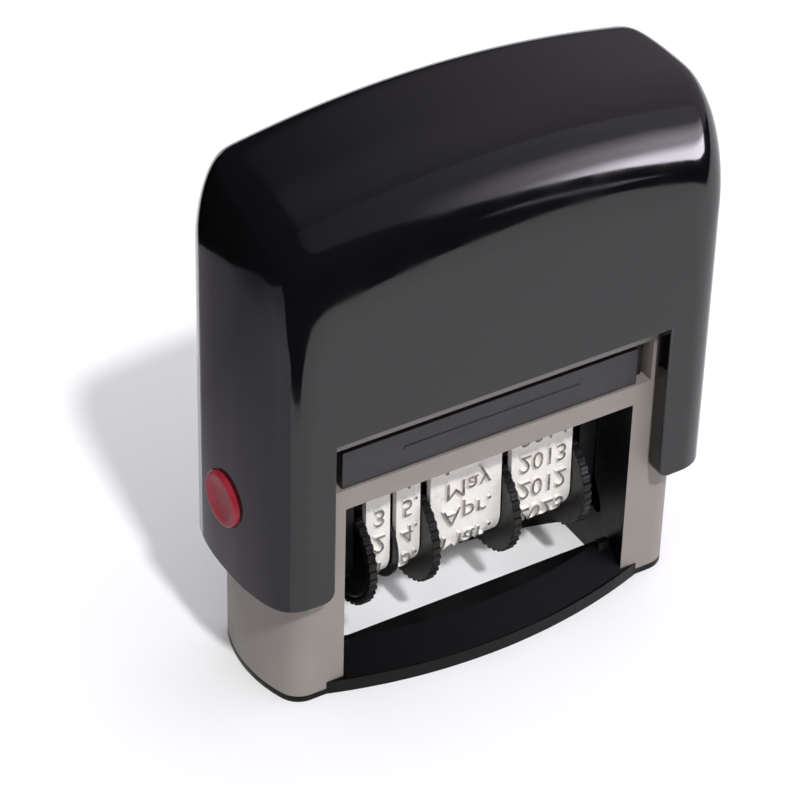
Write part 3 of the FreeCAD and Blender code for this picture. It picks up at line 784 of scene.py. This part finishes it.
def build_cover():
    """A walled shell with a cut-out for the frame and, in each end, a button's seat."""
    low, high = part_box("outer_cover")
    shell = cover_skin(low, high)
    wall(shell, COVER_WALL)
    flatten_out(shell)
    flatten_out(shell, on_a_plate, PLATE_BEND)
    carve(shell, block("cut_out", (-CUT_OUT_HALF, -FAR, 0), (CUT_OUT_HALF, FAR, CUT_OUT_TOP)))
    merge(shell)
    turn_edges(
        shell,
        lambda edge: lies_along(edge, FRONT)
        and abs(abs(middle(edge).x) - CUT_OUT_HALF) < 0.05
        and middle(edge).z < low.z / MM + 0.5,
        LEG_ROUND,
        5,
    )
    merge(shell)
    turn_edges(shell, on_the_rim, RIM_ROUND, 3)
    merge(shell)
    seat_face = high.x / MM - SEAT_SKIN
    for sign in SIDES.values():
        inside = (sign * (seat_face - CHANNEL_FAR), 0, BUTTON_HEIGHT)
        hole = rod("hole", BUTTON_FIT, inside, (sign * FAR, 0, BUTTON_HEIGHT))
        seat = rod("seat", SEAT_RADIUS, inside, (sign * seat_face, 0, BUTTON_HEIGHT))
        left, right = side_span(sign, seat_face - CHANNEL_FAR, seat_face - CHANNEL_NEAR)
        channel = block(
            "channel",
            (left, -CHANNEL_HALF, BUTTON_HEIGHT - CHANNEL_HALF),
            (right, CHANNEL_HALF, CHANNEL_TOP),
        )
        carve(shell, hole, seat, channel)
    finish(shell, GLOSS_BLACK, "cover_plastic", "cover", "outer_cover")


build_cover()


# Frame shell: the grey body under the cover, and the rim of the foot below it

END_RADIUS = 16.73
END_CENTRE = 9.22
END_STEPS = 36
CORNER_STEPS = 8
FRAME_FACE = 7.85
FRAME_CORNER = 2.8
FRAME_WALL = 1.8
ROOM_CORNER = 0.3
FOOT_PLATE = 0.8
WINDOW_HALF = 18.15
WINDOW_TOP = 25.1
RAIL_TOP = 27.7
TOWER_HALF = 20.9
TOWER_POST = 0.6
SLOT_TOP = 33.25
BRIDGE_TOP = 35.4
SPRING_POST_RADIUS = 4.0
SPRING_POST_HEIGHT = 9.0
SPRING_POST_ROUND = 0.6
LOCK_HOLE_RADIUS = 1.2
# How deep one piece is sunk in the next before they are made one
OVERLAP = 0.5


def draw_arc(centre, angle, steps):
    """Draws on from the last corner, round a centre."""
    bpy.ops.mesh.spin(steps=steps, angle=angle, center=Vector(centre) * MM, axis=(0, 0, -1))


def bulged_form(name, bottom, top, inset=0.0, corner=FRAME_CORNER):
    """A solid with straight faces, bulged ends and round corners."""
    radius, face = END_RADIUS - inset, FRAME_FACE - inset
    sweep = math.asin((face - corner) / (radius - corner))
    corner_x = END_CENTRE + (radius - corner) * math.cos(sweep)
    outline = bpy.data.meshes.new(name)
    outline.from_pydata([Vector((corner_x, -face, bottom)) * MM], [], [])
    form = bpy.data.objects.new(name, outline)
    scene.collection.objects.link(form)
    pick(form, "VERT", anything)
    draw_arc((corner_x, corner - face, bottom), math.pi / 2 - sweep, CORNER_STEPS)
    draw_arc((END_CENTRE, 0, bottom), 2 * sweep, END_STEPS)
    draw_arc((corner_x, face - corner, bottom), math.pi / 2 - sweep, CORNER_STEPS)
    apply(form, "MIRROR", merge_threshold=0.005 * MM)
    for side in (-1, 1):
        pick(form, "VERT", lambda vert: abs(middle(vert).y - side * face) < 0.001)
        bpy.ops.mesh.edge_face_add()
    pick(form, "VERT", anything)
    bpy.ops.mesh.edge_face_add()
    pick(form, "FACE", anything)
    pull(UP, top - bottom)
    outwards(form)
    return form


def frame_tower():
    """The bridge over the cartridge's slot, on two thin posts, with the spring's post on top."""
    tower = block(
        "tower", (-TOWER_HALF, -FRAME_FACE, SLOT_TOP), (TOWER_HALF, FRAME_FACE, BRIDGE_TOP)
    )
    inside = TOWER_HALF - TOWER_POST
    for sign in (-1, 1):
        score(tower, facing(DOWN), (sign * inside, 0, 0), RIGHT)
    pick(tower, "FACE", lambda face: facing(DOWN)(face) and abs(middle(face).x) > inside)
    pull(DOWN, SLOT_TOP - RAIL_TOP + OVERLAP)
    post_top = BRIDGE_TOP + SPRING_POST_HEIGHT
    post = rod("post", SPRING_POST_RADIUS, (0, 0, BRIDGE_TOP - 1), (0, 0, post_top), sides=48)
    turn_edges(post, lambda edge: middle(edge).z > post_top - 0.1, SPRING_POST_ROUND, 3)
    weld(tower, post)
    return tower


def blacken_jambs(body):
    """Gives the faces at the sides of the window the guides' black material."""
    for material in (WARM_GREY, GUIDE_BLACK):
        body.data.materials.append(material)

    def on_a_jamb(face):
        place = middle(face)
        return (
            abs(face.normal.x) > 0.9
            and abs(abs(place.x) - WINDOW_HALF) < 0.02
            and place.z < WINDOW_TOP
        )

    pick(body, "FACE", on_a_jamb)
    body.active_material_index = 1
    bpy.ops.object.material_slot_assign()


def build_frame():
    """A bulged body with a window right through it, under a bridge for the cartridge."""
    body = bulged_form("frame_body", FOOT_PLATE, RAIL_TOP)
    room = bulged_form("room", -1, RAIL_TOP + 1, inset=FRAME_WALL, corner=ROOM_CORNER)
    window = block("window", (-WINDOW_HALF, -FAR, -1), (WINDOW_HALF, FAR, WINDOW_TOP))
    carve(body, room, window)
    weld(body, frame_tower())
    for sign in SIDES.values():
        start, end = (sign * TOWER_HALF, 0, BUTTON_HEIGHT), (sign * FAR, 0, BUTTON_HEIGHT)
        carve(body, rod("lock_hole", LOCK_HOLE_RADIUS, start, end, sides=32))
    soften(body, 0.18)
    blacken_jambs(body)
    finish(body, WARM_GREY, "frame_plastic", "base", "frame_shell")


build_frame()


# Foot plate

FOOT_RADIUS = 64.1
FOOT_FRONT = 11.15
FOOT_HALF = 23.6
FOOT_LIP = 1.7
FOOT_SILL = 4.3
SILL_DEPTH = 4.25
SILL_CREST = 0.55
SILL_EDGE = 4.8
SILL_HALF = WINDOW_HALF - 0.1
BACK_BAR_EDGE = 4.0
# Beyond the sill the bars are low in front of the frame and make room for its wall
CLEARING_BACK, CLEARING_TOP = 5, 9
# The small stops on the ends of the front sill
STOP_NEAR, STOP_FAR = WINDOW_HALF - 1.9, WINDOW_HALF - 0.5
STOP_FRONT, STOP_BACK = -SILL_EDGE - 1.2, -SILL_EDGE - 0.4
STOP_BOTTOM, STOP_TOP = 3.6, 4.8


def foot_bar(straight):
    """A front bar: a lip, and a slope up to the sill's crest, whose inner edge may be straight."""
    centre = FOOT_RADIUS - FOOT_FRONT
    bar = rod("foot_bar", FOOT_RADIUS, (0, centre, 0), (0, centre, FOOT_LIP), sides=360)
    pick(bar, "FACE", facing(UP))
    ledge = (FOOT_RADIUS - SILL_CREST / 2) / FOOT_RADIUS
    bpy.ops.mesh.extrude_region_move()
    shrink((ledge, ledge, 1), (0, centre, 0))
    pull(UP, FOOT_SILL - FOOT_LIP)
    crest = (FOOT_RADIUS - SILL_DEPTH + SILL_CREST) / (FOOT_RADIUS - SILL_CREST / 2)
    shrink((crest, crest, 1), (0, centre, 0))
    if straight:
        trim(bar, (0, -SILL_EDGE, 0), BACK)
    else:
        inner = FOOT_RADIUS - SILL_DEPTH
        carve(bar, rod("bore", inner, (0, centre, -1), (0, centre, FOOT_SILL + 1), 360))
        trim(bar, (0, -BACK_BAR_EDGE, 0), BACK)
    for outer in (LEFT, RIGHT):
        trim(bar, outer * FOOT_HALF, outer)
    for name, front, floor in (("above", -FAR, FOOT_LIP), ("behind", -FRAME_FACE, FOOT_PLATE)):
        for sign in SIDES.values():
            left, right = side_span(sign, SILL_HALF, FAR)
            low, high = (left, front, floor), (right, CLEARING_BACK, CLEARING_TOP)
            carve(bar, block(name, low, high))
    return bar


def build_foot():
    """A thin plate with a bulged bar on its front and its back, and stops on the front one."""
    plate = bulged_form("foot_body", 0, FOOT_PLATE)
    carve(plate, block("opening", (-WINDOW_HALF, -FAR, -1), (WINDOW_HALF, FAR, 2)))
    front, back = foot_bar(straight=True), foot_bar(straight=False)
    only(back)
    bpy.ops.transform.rotate(value=math.pi, orient_axis="Z", center_override=(0, 0, 0))
    bpy.ops.object.transform_apply(location=True, rotation=True, scale=True)
    weld(plate, front, back)
    for sign in SIDES.values():
        left, right = side_span(sign, STOP_NEAR, STOP_FAR)
        low, high = (left, STOP_FRONT, STOP_BOTTOM), (right, STOP_BACK, STOP_TOP)
        weld(plate, block("stop", low, high))
    merge(plate, 0.05)
    soften(plate, 0.12)
    finish(plate, FOOT_BLACK, "foot_plastic", "base", "foot_plate")


build_foot()


# Ink cartridge and its felt

TRAY_HALF = 19.9
TRAY_TOP = 32.5
TRAY_BOTTOM = 27.8
TRAY_FRONT, TRAY_BACK = -6.4, 7.6
PANEL_HALF = 18.5
PANEL_FRONT, PANEL_BACK = -7.6, -5.2
# The narrow ridge to pull on, across the middle of the panel
RIDGE_HALF = 11
RIDGE_BOTTOM, RIDGE_TOP = 30.15, 30.6
RIDGE_HEIGHT = 0.12
# The way of the turning carriage under the felt: its half width and its roof
WAY_HALF = 15.65
WAY_ROOF = 28.75
# The room for the felt: its half width, its half depth and its roof
FELT_ROOM = (14.9, 6, 31.3)


def build_cartridge():
    """A tray with a front panel and, from below, room for the felt."""
    low, high = (-TRAY_HALF, TRAY_FRONT, TRAY_BOTTOM), (TRAY_HALF, TRAY_BACK, TRAY_TOP)
    tray = block("cartridge", low, high)
    low, high = (-PANEL_HALF, PANEL_FRONT, TRAY_BOTTOM), (PANEL_HALF, PANEL_BACK, TRAY_TOP)
    panel = block("panel", low, high)
    front = facing(FRONT)
    for height in (RIDGE_BOTTOM, RIDGE_TOP):
        score(panel, front, (0, 0, height), UP)
    for edge in (-RIDGE_HALF, RIDGE_HALF):
        score(panel, front, (edge, 0, 0), RIGHT)

    def on_the_ridge(face):
        place = middle(face)
        return (
            front(face) and abs(place.x) < RIDGE_HALF and RIDGE_BOTTOM < place.z < RIDGE_TOP
        )

    pick(panel, "FACE", on_the_ridge)
    pull(FRONT, RIDGE_HEIGHT)
    weld(tray, panel)
    below = TRAY_BOTTOM - 1
    half, reach, roof = FELT_ROOM
    carve(
        tray,
        block("way", (-WAY_HALF, PANEL_BACK, below), (WAY_HALF, FAR, WAY_ROOF)),
        block("felt_room", (-half, -reach, below), (half, reach, roof)),
    )
    soften(tray, 0.15)
    finish(tray, TRAY_BLACK, "cartridge_plastic", "cartridge", "ink_cartridge")


FELT_LINES_ACROSS = (-12.5, -8, -3, 3, 8, 12.5)
FELT_LINES_ALONG = (-4, 0, 4)


def build_felt():
    """A pad of felt: its edges round over and its face is slightly crowned."""
    low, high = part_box("ink_felt")
    felt = block("felt_pad", low / MM, high / MM)
    for offset in FELT_LINES_ACROSS:
        score(felt, anything, (offset, 0, 0), RIGHT)
    for offset in FELT_LINES_ALONG:
        score(felt, anything, (0, offset, 0), FRONT)
    turn_edges(felt, lambda edge: edge.calc_face_angle(0) > 1, 0.5, 2)
    apply(felt, "SUBSURF", levels=2, render_levels=2)
    finish(felt, FELT, "inked_felt", "cartridge", "ink_felt", angle=60)


build_cartridge()
build_felt()


# Return spring

WIRE = 0.45
COIL_RADIUS = 4.9
COIL_TURNS = 9.5
TURN_STEPS = 40


def build_spring():
    """A coil of round wire, built at rest; the real one is squashed as the cover goes down."""
    low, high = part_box("return_spring")
    bottom, top = low.z / MM, high.z / MM
    rise = top - bottom - 2 * WIRE
    leave_editing()
    bpy.ops.mesh.primitive_circle_add(
        vertices=12,
        radius=WIRE * MM,
        location=(COIL_RADIUS * MM, 0, (bottom + WIRE) * MM),
        rotation=(math.pi / 2, 0, 0),
    )
    coil = settled("coil_spring")
    steps = round(COIL_TURNS * TURN_STEPS)
    apply(
        coil,
        "SCREW",
        angle=COIL_TURNS * 2 * math.pi,
        screw_offset=rise * MM,
        steps=steps,
        render_steps=steps,
        axis="Z",
    )
    pick(coil, "EDGE", lambda edge: edge.is_boundary)
    bpy.ops.mesh.edge_face_add()
    outwards(coil)
    finish(coil, SPRING_STEEL, "spring_steel", "base", "return_spring", angle=60)
    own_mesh(coil)


build_spring()


# Setting wheels

AXLE_HEIGHT = 12.7
AXLE_HOLE = 1.3
FLANGE_RADIUS = 6.8
FLANGE_ROOT = 6.6
DRUM_RADIUS = 3.0
FLANGE_WIDTH = 1.0
TOOTH_FACES = 4
TEETH = 40
# The dish in the flange's face round its hub: its share of the flange, its draft and depth
DISH_SHARE = 0.88
DISH_DRAFT = 0.98
DISH_DEPTH = 0.25
HUB_RADIUS = 2.4
# The end of each drum that carries its flange: -1 is the left one
FLANGE_SIDES = {"day_tens": -1, "day_units": 1, "month": 1, "year": 1}


def build_wheel(name, flange_side):
    """A drum with a large toothed flange at one end, bored for the axle."""
    low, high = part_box(f"{name}_wheel")
    start, end = (low.x / MM, high.x / MM) if flange_side < 0 else (high.x / MM, low.x / MM)
    inner = start - flange_side * FLANGE_WIDTH
    centre = (0, 0, AXLE_HEIGHT)
    wheel = rod(
        f"{name}_setting_wheel",
        FLANGE_ROOT,
        (start, 0, AXLE_HEIGHT),
        (inner, 0, AXLE_HEIGHT),
        sides=TEETH * TOOTH_FACES,
    )
    step = 2 * math.pi / (TEETH * TOOTH_FACES)

    def on_a_tooth(face):
        if abs(face.normal.x) > 0.5:
            return False
        place = middle(face)
        turn = math.atan2(place.z - AXLE_HEIGHT, place.y)
        return math.floor(turn / step) % TOOTH_FACES in (0, 1)

    pick(wheel, "FACE", on_a_tooth)
    bpy.ops.mesh.extrude_region_move()
    tooth = FLANGE_RADIUS / FLANGE_ROOT
    shrink((1, tooth, tooth), centre)
    outer, inward = Vector((flange_side, 0, 0)), Vector((-flange_side, 0, 0))
    pick(wheel, "FACE", lambda face: facing(outer)(face) and len(face.verts) > 8)
    bpy.ops.mesh.extrude_region_move()
    shrink((1, DISH_SHARE, DISH_SHARE), centre)
    pull(inward, DISH_DEPTH)
    shrink((1, DISH_DRAFT, DISH_DRAFT), centre)
    bpy.ops.mesh.extrude_region_move()
    hub = HUB_RADIUS / (FLANGE_ROOT * DISH_SHARE * DISH_DRAFT)
    shrink((1, hub, hub), centre)
    pull(outer, DISH_DEPTH)
    bpy.ops.mesh.extrude_region_move()
    shrink((1, AXLE_HOLE / HUB_RADIUS, AXLE_HOLE / HUB_RADIUS), centre)
    bpy.ops.mesh.delete(type="FACE")
    pick(wheel, "FACE", lambda face: facing(inward)(face) and len(face.verts) > 8)
    bpy.ops.mesh.extrude_region_move()
    drum = DRUM_RADIUS / FLANGE_ROOT
    shrink((1, drum, drum), centre)
    pull(inward, abs(end - inner))
    bpy.ops.mesh.extrude_region_move()
    shrink((1, AXLE_HOLE / DRUM_RADIUS, AXLE_HOLE / DRUM_RADIUS), centre)
    bpy.ops.mesh.delete(type="FACE")
    pick(wheel, "EDGE", lambda edge: edge.is_boundary)
    bpy.ops.mesh.bridge_edge_loops()
    outwards(wheel)
    soften(wheel, 0.07, segments=1, angle=50)
    finish(wheel, WHEEL_BLACK, "wheel_plastic", f"wheel_{name}", f"{name}_wheel")


for wheel_name, wheel_side in FLANGE_SIDES.items():
    build_wheel(wheel_name, wheel_side)


# Date bands: flat strips with raised type, bent round the drum and the nose

BELT_DRUM = 3.15
BELT_NOSE = 1.4
NOSE_REACH = 1.5
NOSE_HEIGHT = 25.8
BELT_THICKNESS = 0.8
TYPE_HEIGHT = 0.45
TYPE_SIZE = 3.3
# How deep the type is sunk in the belt
TYPE_ROOT = 0.1
DRUM_STEPS, NOSE_STEPS, BELT_PARTS = 24, 12, 96
ROWS = 12
# The row at the printing face, and the year that stands there
PRINT_ROW = 6
PRINTED_YEAR = 2016
# How wide each band's type is set, and its words from the printing face on
BAND_TYPE = {
    "day_tens": (0.95, ("2", "3", "", "1") * 3),
    "day_units": (0.9, ("8.", "9.", "", "", "0.", "1.", "2.", "3.", "4.", "5.", "6.", "7.")),
    "month": (
        1.1,
        ("Aug.", "Sep.", "Oct.", "Nov.", "Dec.", "Jan.")
        + ("Feb.", "Mar.", "Apr.", "May", "June", "July"),
    ),
    "year": (0.95, [str(PRINTED_YEAR - 4 + (step + 4) % ROWS) for step in range(ROWS)]),
}
# The strip's own axes: X along the belt, Y out of it and Z across it, to the left
STRIP_TURN = Matrix(((0, 0, 1), (1, 0, 0), (0, 1, 0))).to_4x4()
TYPE_TURN = Matrix(((0, -1, 0), (0, 0, -1), (1, 0, 0))).to_4x4()


def belt_points():
    """The belt's inner line as (y, z), from the drum's bottom up the back to the nose."""
    rise = NOSE_HEIGHT - AXLE_HEIGHT
    lean = math.atan2(NOSE_REACH, rise)
    tilt = math.asin((BELT_DRUM - BELT_NOSE) / math.hypot(NOSE_REACH, rise))
    side = tilt - lean
    points = []
    for part in range(DRUM_STEPS + 1):
        turn = -math.pi / 2 + (side + math.pi / 2) * part / DRUM_STEPS
        points.append((BELT_DRUM * math.cos(turn), AXLE_HEIGHT + BELT_DRUM * math.sin(turn)))
    for part in range(NOSE_STEPS + 1):
        turn = side + (math.pi / 2 - side) * part / NOSE_STEPS
        points.append(
            (NOSE_REACH + BELT_NOSE * math.cos(turn), NOSE_HEIGHT + BELT_NOSE * math.sin(turn))
        )
    return points + [(-y, z) for y, z in reversed(points[1:])]


def belt_path():
    """The belt's inner line as a closed curve, and its length."""
    points = belt_points()
    line = bpy.data.curves.new("belt_path", "CURVE")
    line.dimensions = "2D"
    spline = line.splines.new("POLY")
    spline.points.add(len(points) - 1)
    for point, (y, z) in zip(spline.points, points):
        point.co = (y * MM, z * MM, 0, 1)
    spline.use_cyclic_u = True
    path = bpy.data.objects.new("belt_path", line)
    scene.collection.objects.link(path)
    path.matrix_world = STRIP_TURN
    closed = points + points[:1]
    length = sum(math.dist(a, b) for a, b in zip(closed, closed[1:]))
    return path, length


def type_row(word, squeeze, along, across):
    """One row of raised type, laid on the flat strip."""
    leave_editing()
    bpy.ops.object.text_add()
    text = bpy.context.object
    text.data.body = word
    text.data.size = TYPE_SIZE * MM
    text.data.extrude = (TYPE_HEIGHT + TYPE_ROOT) / 2 * MM
    text.data.resolution_u = 3
    text.data.align_x = "CENTER"
    text.data.align_y = "CENTER"
    bpy.ops.object.convert(target="MESH")
    row = bpy.context.object
    lift = BELT_THICKNESS - TYPE_ROOT + (TYPE_HEIGHT + TYPE_ROOT) / 2
    flat = Matrix.Diagonal((squeeze, 1, 1, 1))
    row.matrix_world = Matrix.Translation(Vector((along, lift, -across)) * MM) @ TYPE_TURN @ flat
    return row


def build_band(name, squeeze, words, path, length):
    """A strip with its rows of type, bent along the path and closed."""
    low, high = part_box(f"{name}_band")
    left, right = low.x / MM, high.x / MM
    strip = block(f"{name}_date_band", (0, 0, left), (length, BELT_THICKNESS, right))
    remove(strip, lambda face: abs(face.normal.x) > 0.99)
    rows = []
    pitch = length / ROWS
    for number, word in enumerate(words):
        if word:
            along = (number + PRINT_ROW) % ROWS * pitch
            rows.append(type_row(word, squeeze, along, -(left + right) / 2))
    leave_editing()
    bpy.ops.object.select_all(action="DESELECT")
    for piece in rows + [strip]:
        piece.select_set(True)
    bpy.context.view_layer.objects.active = strip
    bpy.ops.object.join()
    for cut in range(1, BELT_PARTS):
        score(strip, anything, (length * cut / BELT_PARTS, 0, 0), RIGHT)
    only(strip)
    strip.data.materials.clear()
    for material in (IVORY, INKED):
        strip.data.materials.append(material)
    for face in strip.data.polygons:
        on_top = face.center.y > (BELT_THICKNESS + TYPE_HEIGHT / 2) * MM and face.normal.y > 0.9
        face.material_index = int(on_top)
    strip.matrix_world = STRIP_TURN
    apply(strip, "CURVE", object=path, deform_axis="POS_X")
    bpy.ops.object.transform_apply(location=True, rotation=True, scale=True)
    outwards(strip)
    finish(strip, IVORY, "date_rubber", "carriage", f"{name}_band")


def build_bands():
    """The four bands, bent along one path."""
    path, length = belt_path()
    for name, (squeeze, words) in BAND_TYPE.items():
        build_band(name, squeeze, words, path, length)
    bpy.data.objects.remove(path)


build_bands()


# Lock buttons, each with a leaf spring behind it

CAP_RADIUS = 3.2
CAP_ROOT = 26.9
LIP_ROUND = 0.3
RIM_RADIUS = 4.2
RIM_THICKNESS = 0.5
PEG_RADIUS = 1.0
PEG_LENGTH = 0.6
PEG_ROOT = 0.2
# The finger dish in the cap: each ring's share of the last one and how much deeper it lies
FINGER_DISH = ((0.84, 0.02), (0.86, 0.16), (0.8, 0.16), (0.7, 0.1), (0.5, 0.04))
LEAF_FACE = 26.9
LEAF_THICKNESS = 0.12
LEAF_HALF = 1.5
LEAF_BOTTOM = BUTTON_HEIGHT - 1.3
LEAF_TOP = 38.0
EYE_RADIUS = 1.1


def build_button(side, sign):
    """A cap with a finger dish, a flange that holds it in the cover, and a peg."""
    low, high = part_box(f"lock_button_{side}")
    reach = high.x / MM if sign > 0 else -low.x / MM
    hub = Vector((0, 0, BUTTON_HEIGHT))
    root, outer = hub + Vector((sign * CAP_ROOT, 0, 0)), Vector((sign, 0, 0))
    cap = rod(f"button_{side}", CAP_RADIUS, root, hub + outer * reach)
    pick(cap, "FACE", facing(outer))
    for factor, depth in FINGER_DISH:
        pull(outer, -depth)
        shrink((1, factor, factor), hub)

    def on_the_lip(edge):
        place = middle(edge)
        return abs(place.x) > reach - 0.01 and (place - hub).yz.length > CAP_RADIUS - 0.1

    turn_edges(cap, on_the_lip, LIP_ROUND, 3)
    flange = rod("flange", RIM_RADIUS, root, root + outer * RIM_THICKNESS)
    peg = rod("peg", PEG_RADIUS, root - outer * PEG_LENGTH, root + outer * PEG_ROOT, sides=32)
    weld(cap, flange, peg)
    finish(cap, BUTTON_RED, "button_plastic", f"button_{side}", f"lock_button_{side}")


def build_leaf(side, sign):
    """The leaf behind a button: its top sits in the cover's channel and the button's peg goes
    through its eye.
    """
    left, right = side_span(sign, LEAF_FACE - LEAF_THICKNESS, LEAF_FACE)
    low, high = (left, -LEAF_HALF, LEAF_BOTTOM), (right, LEAF_HALF, LEAF_TOP)
    leaf = block(f"leaf_spring_{side}", low, high)
    for height in range(math.ceil(BUTTON_HEIGHT + EYE_RADIUS), round(LEAF_TOP)):
        score(leaf, anything, (0, 0, height), UP)
    ends = [(sign * (LEAF_FACE + reach), 0, BUTTON_HEIGHT) for reach in (-1, 1)]
    carve(leaf, rod("eye", EYE_RADIUS, *ends, sides=32))
    finish(leaf, SPRING_STEEL, "spring_steel", None, f"lock_spring_{side}")
    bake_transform(leaf)


for button_side, button_sign in SIDES.items():
    build_button(button_side, button_sign)
    build_leaf(button_side, button_sign)


# Nodes whose CAD shape is right get their finish

KEPT = {
    "guide_plate_left": GUIDE_BLACK,
    "guide_plate_right": GUIDE_BLACK,
    "inner_yoke": YOKE_BLACK,
    "carriage_body": FOOT_BLACK,
    "pivot_pin_left": PIN_STEEL,
    "pivot_pin_right": PIN_STEEL,
    "wheel_axle": PIN_STEEL,
    "axle_clip_left": PIN_STEEL,
    "axle_clip_right": PIN_STEEL,
    "day_separator": WHEEL_BLACK,
}
for kept_name, kept_material in KEPT.items():
    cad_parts[kept_name].material_slots[0].material = kept_material

leave_editing()
bpy.context.view_layer.update()
